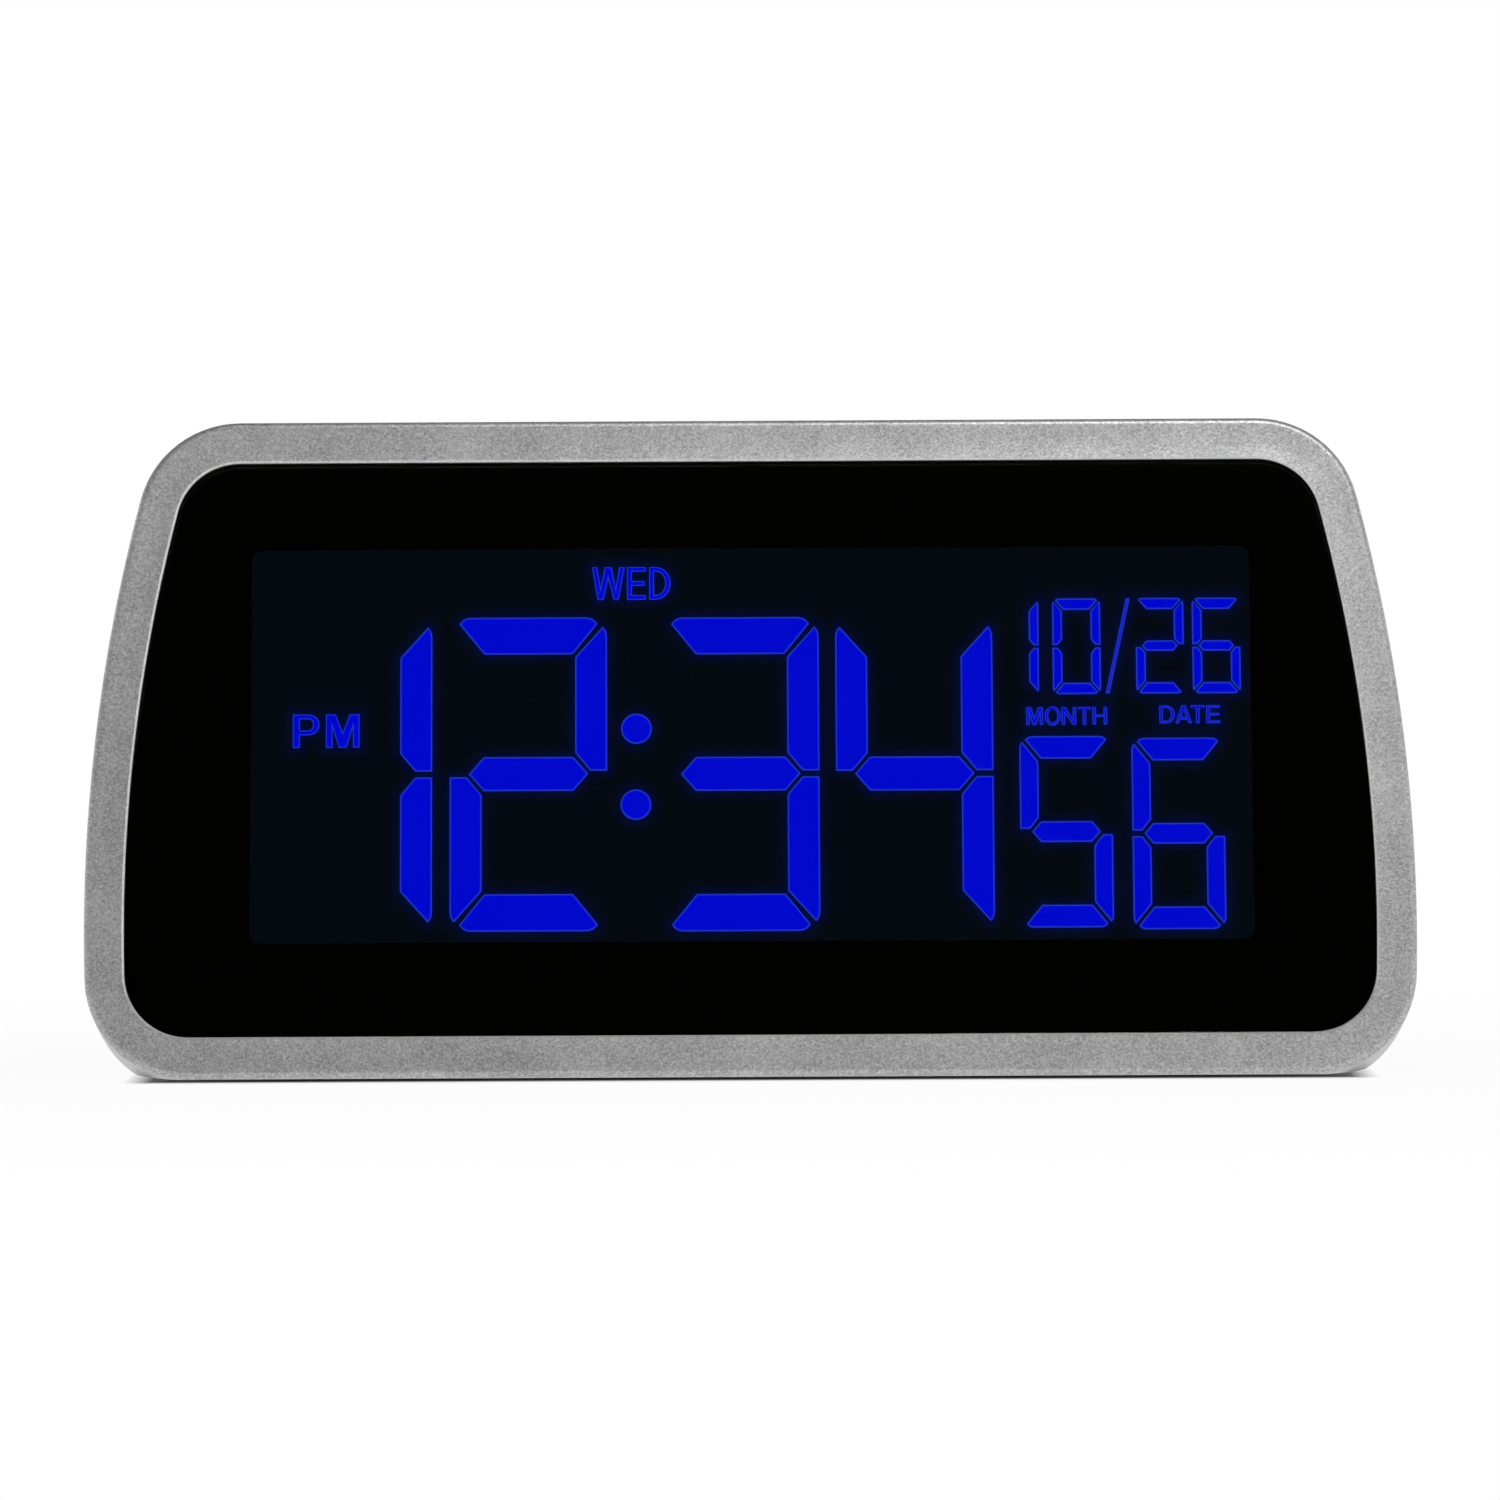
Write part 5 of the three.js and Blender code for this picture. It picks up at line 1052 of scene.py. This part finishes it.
# Case screws. Steel self-tapping screws with pan heads and cross slots, sunk in the wells of the rear
# case. They bite into the frame's posts and hold the two halves together.
HEAD = 2.7
SHANK = 1.4
SCREW_LENGTH = 12
x, z, joint = wells[0]
seat = joint + WELL_SEAT + 0.3
screw_profile = [(0.5, seat + 2), (1.3, seat + 1.95), (1.9, seat + 1.75), (2.4, seat + 1.35),
                 (2.63, seat + 0.9), (HEAD, seat + 0.5), (HEAD, seat + 0.1), (2.6, seat), (SHANK, seat),
                 (SHANK, seat - 1)]
for thread in range(9):
    screw_profile += [(1.12, seat - 1.5 - thread), (1.38, seat - 1.9 - thread), (1.38, seat - 2 - thread)]
screw_profile += [(1.1, seat - 11), (0.3, seat - SCREW_LENGTH)]
screw = turned("case_fixing_1", LEVEL, x, z, screw_profile, 32)


def cross(length, width):
    """A cross slot on the first screw's axis."""
    a, b = length / 2, width / 2
    corners = [(a, -b), (a, b), (b, b), (b, a), (-b, a), (-b, b), (-a, b), (-a, -b), (-b, -b), (-b, -a),
               (b, -a), (b, -b)]
    return [(x + px, z + py) for px, py in corners]


slot_levels = ((1.4, 0.5, 0.8), (3.3, 0.8, 2.1), (3.4, 0.85, 3))
carve(screw, [sweep("tool", [lay(LEVEL, cross(length, width), seat + depth)
                             for length, width, depth in slot_levels])])
coat(screw, nickel)
screws = [screw]
for number, (across, up, back) in enumerate(wells[1:], 2):
    screws.append(copied(screw, f"case_fixing_{number}", across - x, back - joint, up - z))
for number, screw in enumerate(screws, 1):
    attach(screw, "clock")
    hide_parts(f"case_screw_{number}")

# Setting buttons. Pill-shaped caps moulded in grey ABS with a slight dish for the fingertip. The flange
# behind keeps each one in the case, and its stem presses a switch on the key board.
PROUD = 1.2
FLANGE_FRONT = 2.5
FLANGE_BACK = 3.5
STEM_END = 5.6
STEM_RADIUS = 1.6
BUTTON_LENGTH = 9
BUTTON_WIDTH = 5


def cap_rings(plane, x, y, length, width, proud, edge, dish, steps):
    """The dished top, the rounded edge and the sides of a pill-shaped cap, down to its flange."""
    levels = []
    for share in (0.25, 0.5, 0.75):
        levels.append((edge + (width / 2 - edge) * (1 - share), dish * (1 - share ** 2) - proud))
    for step in range(5):
        turn = math.pi / 2 * step / 4
        levels.append((edge * (1 - math.sin(turn)), edge * (1 - math.cos(turn)) - proud))
    levels.append((0, FLANGE_FRONT))
    return [lay(plane, pill(x, y, length - 2 * inset, width - 2 * inset, steps), depth)
            for inset, depth in levels]


def button_rings(x):
    """A button from its dished cap to its flange and the end of its round stem."""
    flange = rounded_outline(x, ROW_HEIGHT, BUTTON_LENGTH + 2, BUTTON_WIDTH + 2, 2.5, 10)
    stem = circle(x, ROW_HEIGHT, STEM_RADIUS, len(flange))
    turn = len(flange) // 4
    stem = stem[-turn:] + stem[:-turn]
    cap = cap_rings(BACK, x, ROW_HEIGHT, BUTTON_LENGTH, BUTTON_WIDTH, PROUD, 0.4, 0.15, 10)
    return cap + [lay(BACK, outline, depth) for outline, depth in (
        (flange, FLANGE_FRONT), (flange, FLANGE_BACK), (stem, FLANGE_BACK), (stem, STEM_END))]


first_button = sweep("time_set_cap", button_rings(BUTTON_X[0]))
coat(first_button, mottled("button_plastic", (5, 2), (0.235, 0.235, 0.24), (0.265, 0.265, 0.27), (0.42, 0.52),
                           pores=(0.3, 3), depth=0.012))
buttons = [("time_set", first_button)]
for number, name in enumerate(("alarm_set", "hour", "minute", "mode"), 1):
    buttons.append((name, copied(first_button, f"{name}_cap", BUTTON_X[number] - BUTTON_X[0])))
for name, button in buttons:
    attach(button, f"{name}_key")
    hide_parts(f"{name}_button")

# Slide knobs. Small white nylon knobs with two grip grooves. A plate behind each closes its slot, and its
# stem moves the slide switch.
KNOB_STEM = 3.6
GRIP_ASIDE = 0.75
GRIP_HEIGHT = 4.6
grip_levels = ((0.3, -1.05), (0.62, -1.62), (0.9, -2.5))
knob_white = white_plastic("knob_plastic", 0.72, 0.66)
for name, x, travel in (("alarm", ALARM_X - ALARM_TRAVEL / 2, ALARM_TRAVEL),
                        ("dimmer", DIMMER_X, DIMMER_TRAVEL)):
    # Width, height and depth, from the grip to the plate and the end of the stem
    levels = [(3.9, 3, -1.6), (4.3, 3.4, -1.5), (4.5, 3.6, -1.25), (4.5, 3.6, FLANGE_FRONT),
              (KNOB_STEM + travel, 5.6, FLANGE_FRONT), (KNOB_STEM + travel, 5.6, FLANGE_BACK),
              (KNOB_STEM, 1.8, FLANGE_BACK), (KNOB_STEM, 1.8, STEM_END)]
    knob = sweep(f"{name}_slide_knob", [lay(BACK, rectangle(x, ROW_HEIGHT, width, height, 0.25), depth)
                                        for width, height, depth in levels])
    for groove in (x - GRIP_ASIDE, x + GRIP_ASIDE):
        carve(knob, [sweep("tool", [lay(BACK, rectangle(groove, ROW_HEIGHT, width, GRIP_HEIGHT, 0.1), depth)
                                    for width, depth in grip_levels])])
    coat(knob, knob_white)
    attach(knob, f"{name}_switch")
    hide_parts(f"{name}_switch_knob")

# Snooze bar. A long press bar in the top wall, moulded in ABS and sprayed like the frame. Ears at its
# ends keep it in the case, and a stem at its middle works the switch on the snooze board.
SNOOZE_LENGTH = 56
SNOOZE_WIDTH = 9
EAR_LENGTH = 62
EAR_WIDTH = 4.5
snooze_rings = cap_rings(TOP, 0, 0, SNOOZE_LENGTH, SNOOZE_WIDTH, 1, 0.5, 0.25, 14)
foot_ring = lay(TOP, pill(0, 0, SNOOZE_LENGTH, SNOOZE_WIDTH, 14), FLANGE_BACK)
snooze_bar = sweep("snooze_press_bar", [*snooze_rings[:-1], foot_ring])
ears = block(TOP, rectangle(0, 0, EAR_LENGTH, EAR_WIDTH, 0.4), FLANGE_FRONT, FLANGE_BACK)
carve(snooze_bar, [ears, rod(0, 0, STEM_RADIUS, FLANGE_BACK - 0.5, STEM_END, TOP)], "UNION")
coat(snooze_bar, silver)
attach(snooze_bar, "snooze")
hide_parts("snooze_bar")

# Battery door. A flat lid moulded in the case's plastic, hinged on two small pins at its foot. A springy
# tongue between two slots at its top snaps it shut, with ribs for the thumb.
DOOR_HALF = 29.1
HINGE_HEIGHT = 10.45
DOOR_TOP = 41.85
DOOR_THICKNESS = 1.8
PIN_RADIUS = 0.5
PIN_REACH = 1.2
TONGUE_HALF = 6
TONGUE_SLOT = (0.9, 7)
RIB_PITCH = 2

# The back wall seen from its end: x up the wall, y out of it, z across
SIDEWAYS = BACK @ Matrix(((0, 0, 1, 0), (1, 0, 0, 0), (0, 1, 0, 0), (0, 0, 0, 1)))


def door_outline(inset):
    return rectangle(0, (HINGE_HEIGHT + DOOR_TOP) / 2 + inset / 2, 2 * DOOR_HALF - 2 * inset,
                     DOOR_TOP - HINGE_HEIGHT - inset, 0.5)


battery_door = sweep("battery_lid", [lay(BACK, door_outline(inset), depth) for inset, depth in (
    (0.25, 0), (0.07, 0.07), (0, 0.25), (0, DOOR_THICKNESS))])
barrel = DOOR_THICKNESS / 2
carve(battery_door, [rod(HINGE_HEIGHT, -barrel, barrel, -DOOR_HALF, DOOR_HALF, SIDEWAYS),
                     rod(HINGE_HEIGHT, -barrel, PIN_RADIUS, -DOOR_HALF - PIN_REACH, DOOR_HALF + PIN_REACH,
                         SIDEWAYS)], "UNION")
length, height = TONGUE_SLOT
slot_edges = ((HOLE_EDGE + CUT, -CUT), (0, HOLE_EDGE), (0, DOOR_THICKNESS + CUT))
for x in (-TONGUE_HALF, TONGUE_HALF):
    carve(battery_door, [sweep("tool", [
        lay(BACK, rectangle(x, DOOR_TOP - 2.5, length + grow, height + grow, 0.4), depth)
        for grow, depth in slot_edges])])
rib_levels = ((9, 0.9, 0.3, 0.5), (9, 0.9, 0.3, -0.15), (8.6, 0.5, 0.2, -0.4))
for rib in (1, 2, 3):
    carve(battery_door, [sweep("tool", [lay(BACK, rectangle(0, DOOR_TOP - rib * RIB_PITCH, *size), depth)
                                        for *size, depth in rib_levels])], "UNION")
coat(battery_door, case_plastic)
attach(battery_door, "battery_door")
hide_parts("battery_door")

# Backup cells and contacts. Two round cells lie head to tail in the bay, in printed plastic sleeves, each
# between a coiled steel spring and a plated contact plate.
CELL_RADIUS = 7.1
CELL_DEPTH = 9.35
CELL_PITCH = 15
CAP_RADIUS = 6.05
PLATE_END = 0.3
SPRING_ROOM = 4.9
SPRING_WIDE = 4.4
SPRING_TAPER = 1.2
SPRING_TURNS = 3
SPRING_REACH = 3.9
SPRING_STEPS = 72
WIRE = 0.35
bay_end = BAY_LENGTH / 2 - PLATE_END


def cell_sleeve():
    material, sleeve = new_finish("cell_sleeve")
    ink = sleeve.grain(4, 2)
    scuffs = sleeve.grain(0.6, 4, 0.7)
    tone = sleeve.ramp(ink, [(0.3, (0.06, 0.085, 0.125)), (0.7, (0.075, 0.1, 0.145))])
    color = sleeve.mix(sleeve.level(scuffs, 0.62, 0.72) * 0.4, tone, (0.3, 0.32, 0.35, 1))
    sleeve.surface(Base_Color=color, Roughness=sleeve.level(scuffs, 0.3, 0.7, 0.3, 0.45), Metallic=0.2)
    return material


sleeve = cell_sleeve()
for number, side in ((1, 1), (2, -1)):
    up = bay_middle + (number - 1.5) * CELL_PITCH
    minus = -side * (bay_end - SPRING_ROOM)
    # Radius and distance from the flat end, over the sleeve to the raised button
    profile = [(5.2, 0.15), (6, 0.15), (6.2, 0), (6.9, 0.05), (CELL_RADIUS, 0.3), (CELL_RADIUS, 48.7),
               (6.9, 48.95), (6.2, 49), (6, 48.8), (3.2, 48.8), (2.7, 49), (2.6, 50), (2.3, 50.3)]
    cell = turned(f"backup_cell_{number}", SIDEWAYS, up, -CELL_DEPTH, [
        (radius, -(minus + side * along)) for radius, along in profile])
    coat(cell, sleeve, nickel)
    axis = SIDEWAYS @ Vector((up, -CELL_DEPTH, 0)) * MM
    for face in cell.data.polygons:
        away = Vector((0, face.center.y - axis.y, face.center.z - axis.z)).length
        face.material_index = 1 if away < CAP_RADIUS * MM else 0
    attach(cell, "clock")
    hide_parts(f"cell_{number}")

    coils = []
    for step in range(SPRING_STEPS + 1):
        share = step / SPRING_STEPS
        turn = share * SPRING_TURNS * 2 * math.pi
        along = bay_end - WIRE - share * SPRING_REACH
        wire = circle(SPRING_WIDE - SPRING_TAPER * share - WIRE, 0, WIRE, 8)
        coils.append([(SIDEWAYS @ Vector((up + reach * math.cos(turn), reach * math.sin(turn) - CELL_DEPTH,
                                          -side * (along + aside)))) * MM for reach, aside in wire])
    spring = sweep(f"cell_spring_{number}", coils)
    coat(spring, nickel, angle=60)
    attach(spring, "clock")
    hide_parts(f"battery_spring_{number}")
dress(nickel, "battery_contact_1", "battery_contact_2")

# Sounder and power socket. The sounder is a black resin disc behind the slots. The socket's barrel
# passes through the back wall and is held by a nut inside, with a brass pin in its bore.
power_socket = turned("power_socket", BACK, *SOCKET, [
    (3.5, 14), (3.9, 13.6), (3.9, -0.3), (5.2, -0.3), (5.2, -1.2), (5.1, -1.4), (4.9, -1.5), (2.35, -1.5),
    (2.05, -1.4), (1.9, -1.1), (1.9, 10)])
coat(power_socket, resin_black)
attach(power_socket, "clock")
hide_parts("dc_jack")
dress(resin_black, "buzzer")
brass = mottled("brass", (0.8, 3), (0.4, 0.28, 0.08), (0.5, 0.36, 0.12), (0.28, 0.42), Metallic=1.0)
dress(brass, "jack_pin")
dress(nickel, "jack_nut")

# Ribbon. A flat cable of tinned strands side by side in white plastic. It runs inside the case, from
# the key board to the main board, and is soldered to both.


def ribbon_plastic():
    material, ribbon = new_finish("ribbon_plastic")
    strands = ribbon.stripes(250)
    color = ribbon.mix(strands, (0.62, 0.62, 0.6, 1), (0.8, 0.8, 0.78, 1))
    ribbon.surface(Base_Color=color, Roughness=ribbon.level(ribbon.grain(1.5), 0.3, 0.7, 0.4, 0.5),
                   Normal=ribbon.bump(strands, 0.1))
    return material


dress(ribbon_plastic(), "key_ribbon")

# Legends. The plain words by the buttons and switches, pad-printed in white ink on the back wall. Each
# is a thin film of ink on the moulded grain.
LEGEND_PROUD = 0.02
LEGEND_ABOVE = 5.2
LEGEND_BELOW = 5.6
KEY_WORDS = list(zip(("TIME", "ALARM", "HOUR", "MIN", "MODE", "ALARM", "DIM"),
                     (*BUTTON_X, ALARM_X, DIMMER_X)))
SWITCH_WORDS = [("OFF", -61.5), ("ON", -54.5), ("HI", 53.8), ("LO", 58), ("OFF", 62.4)]
# Each row of words: the words, the height of its foot up the back, and the height of its letters
LEGEND_ROWS = [(KEY_WORDS, ROW_HEIGHT + LEGEND_ABOVE, 2), (SWITCH_WORDS, ROW_HEIGHT - LEGEND_BELOW, 1.5)]
# The back wall as read from behind
READ = BACK @ Matrix.Diagonal((-1, 1, 1, 1))


def legend(text, x, y, height):
    """Plain capitals as a film of ink, centred at a place on the back."""
    bpy.ops.object.select_all(action="DESELECT")
    bpy.ops.object.text_add()
    bpy.context.object.data.body = text
    bpy.context.object.data.align_x = "CENTER"
    bpy.context.object.data.extrude = LEGEND_PROUD
    bpy.ops.object.convert(target="MESH")
    film = bpy.context.object
    ups = [vertex.co.y for vertex in film.data.vertices]
    size = height / (max(ups) - min(ups))
    for vertex in film.data.vertices:
        across, up, out = vertex.co
        vertex.co = (READ @ Vector((size * across - x, y + size * (up - min(ups)), out))) * MM
    return film


joined([legend(text, x, y, height) for row, y, height in LEGEND_ROWS for text, x in row])
legends = added("back_legends")
with edit_mode():
    bpy.ops.mesh.remove_doubles(threshold=0.0001 * MM)
white_ink = mottled("white_ink", (0.35, 3), (0.42, 0.42, 0.42), (0.62, 0.62, 0.62), (0.5, 0.65),
                    ends=(0.25, 0.6))
legends.data.materials.clear()
legends.data.materials.append(white_ink)
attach(legends, "clock")

# Studio. A plain pale table under the clock, one soft lamp in front of it and a white surround with a
# dim ceiling. The dark patch of the surround is the unlit room in front, which the flat lens mirrors.
CAMERA_AWAY = 1200
CAMERA_RISE = math.radians(1.38)
DARK_RISE = 2 * FACE_TILT - CAMERA_RISE + math.radians(7)
DARK_ROOM = (0, -math.cos(DARK_RISE), math.sin(DARK_RISE))
PLAN_MIDDLE = (0, 0.0018, 0)
PLAN_HALF = (0.086, 0.0227, 1)
DARK_CORE = math.cos(math.radians(12))
DARK_EDGE = math.cos(math.radians(20))
CEILING_DIM = 0.85

bpy.ops.object.select_all(action="DESELECT")
bpy.ops.mesh.primitive_plane_add(size=6)
table = added("table")
pale, laminate = new_finish("pale_table")


def vector_sum(finish, operation, first, second=(0, 0, 0), output=0):
    return finish.node("ShaderNodeVectorMath", {"operation": operation}, {0: first, 1: second}, output)


from_middle = vector_sum(laminate, "SUBTRACT", laminate.object_place(), PLAN_MIDDLE)
offset = vector_sum(laminate, "ABSOLUTE", from_middle)
outside = vector_sum(laminate, "MAXIMUM", vector_sum(laminate, "SUBTRACT", offset, PLAN_HALF))
away = vector_sum(laminate, "LENGTH", outside, output="Value")
fleck = laminate.grain(2, 2)
diffuse = laminate.node("ShaderNodeBsdfDiffuse", {}, {"Color": laminate.ramp(
    fleck, [(0.3, (0.78, 0.78, 0.78)), (0.7, (0.82, 0.82, 0.82))])})
white = laminate.node("ShaderNodeEmission", {}, {"Color": grey(1), "Strength": 1.0})


def ray_kind(finish, kind):
    return finish.node("ShaderNodeLightPath", output=f"Is {kind} Ray")


shown = ray_kind(laminate, "Camera") + ray_kind(laminate, "Glossy") + ray_kind(laminate, "Transmission")
near_white = laminate.level(away, 0, 0.004, 0, 0.95)
far_white = laminate.level(away, 0.01, 0.2, 0, 0.05)
backdrop = laminate.level(shown, 0, 1) * (near_white + far_white)
mixed = laminate.node("ShaderNodeMixShader", {}, {0: backdrop, 1: diffuse, 2: white})
laminate.node("ShaderNodeOutputMaterial", {}, {"Surface": mixed})
table.data.materials.append(pale)

surround = bpy.data.worlds.new("surround")
surround.use_nodes = True
bpy.context.scene.world = surround
sky = Finish(surround.node_tree)
way = sky.node("ShaderNodeTexCoord", output="Generated")


def towards(direction):
    """How far a ray points in a direction, from -1 to 1."""
    return vector_sum(sky, "DOT_PRODUCT", way, direction, "Value")


behind = sky.level(towards((0, 1, 0)), -0.2, 0.6)
ceiling = sky.level(towards((0, 0, 1)), 0.3, 0.6)
rightward = sky.level(towards((1, 0, 0)), -0.6, 0.8)
patch = sky.level(towards(DARK_ROOM), DARK_EDGE, DARK_CORE)
open_room = 0.7 + 0.45 * rightward
lit_room = sky.level(behind + open_room, 0, 1) * (1 - patch) * (1 - CEILING_DIM * ceiling)
mirrored = (ray_kind(sky, "Glossy") + ray_kind(sky, "Transmission")) * behind * (1 - ceiling)
sky_share = sky.level(ray_kind(sky, "Camera") + mirrored, 0, 1)
sky_color = sky.mix(sky_share, sky.node("ShaderNodeCombineColor", {}, {
    "Red": lit_room, "Green": lit_room, "Blue": lit_room}), grey(1))
background = sky.node("ShaderNodeBackground", {}, {"Color": sky_color, "Strength": 1.0})
sky.node("ShaderNodeOutputWorld", {}, {"Surface": background})


LAMP_PLACE = Vector((0.15, -0.33, 0.5))
LAMP_AIM = Vector((0, 0, 0.05))
bpy.ops.object.light_add(type="AREA", location=LAMP_PLACE)
lamp = added("key_lamp")
lamp.data.shape = "SQUARE"
lamp.data.size = 0.3
lamp.data.energy = 1.5
lamp.rotation_euler = (LAMP_AIM - LAMP_PLACE).to_track_quat("-Z", "Y").to_euler()

# Camera. A long lens, 1.2 m in front of the face and a little above its middle, with the roll and the
# framing of the photograph.
CAMERA_LENS = 201.43
CAMERA_ROLL = math.radians(0.284)
CAMERA_ASIDE = 0.07
CAMERA_DROP = 0.67
camera_place = face_middle + Vector((CAMERA_ASIDE, -CAMERA_AWAY * math.cos(CAMERA_RISE),
                                     CAMERA_AWAY * math.sin(CAMERA_RISE) - CAMERA_DROP)) * MM
camera_turn = Matrix.Rotation(math.pi / 2 - CAMERA_RISE, 4, "X") @ Matrix.Rotation(-CAMERA_ROLL, 4, "Z")
bpy.ops.object.camera_add(location=camera_place, rotation=camera_turn.to_euler())
camera = bpy.context.object
camera.data.lens = CAMERA_LENS
camera.data.sensor_width = 36
camera.data.clip_end = 20
bpy.context.scene.camera = camera
bpy.context.scene.view_settings.view_transform = "Standard"
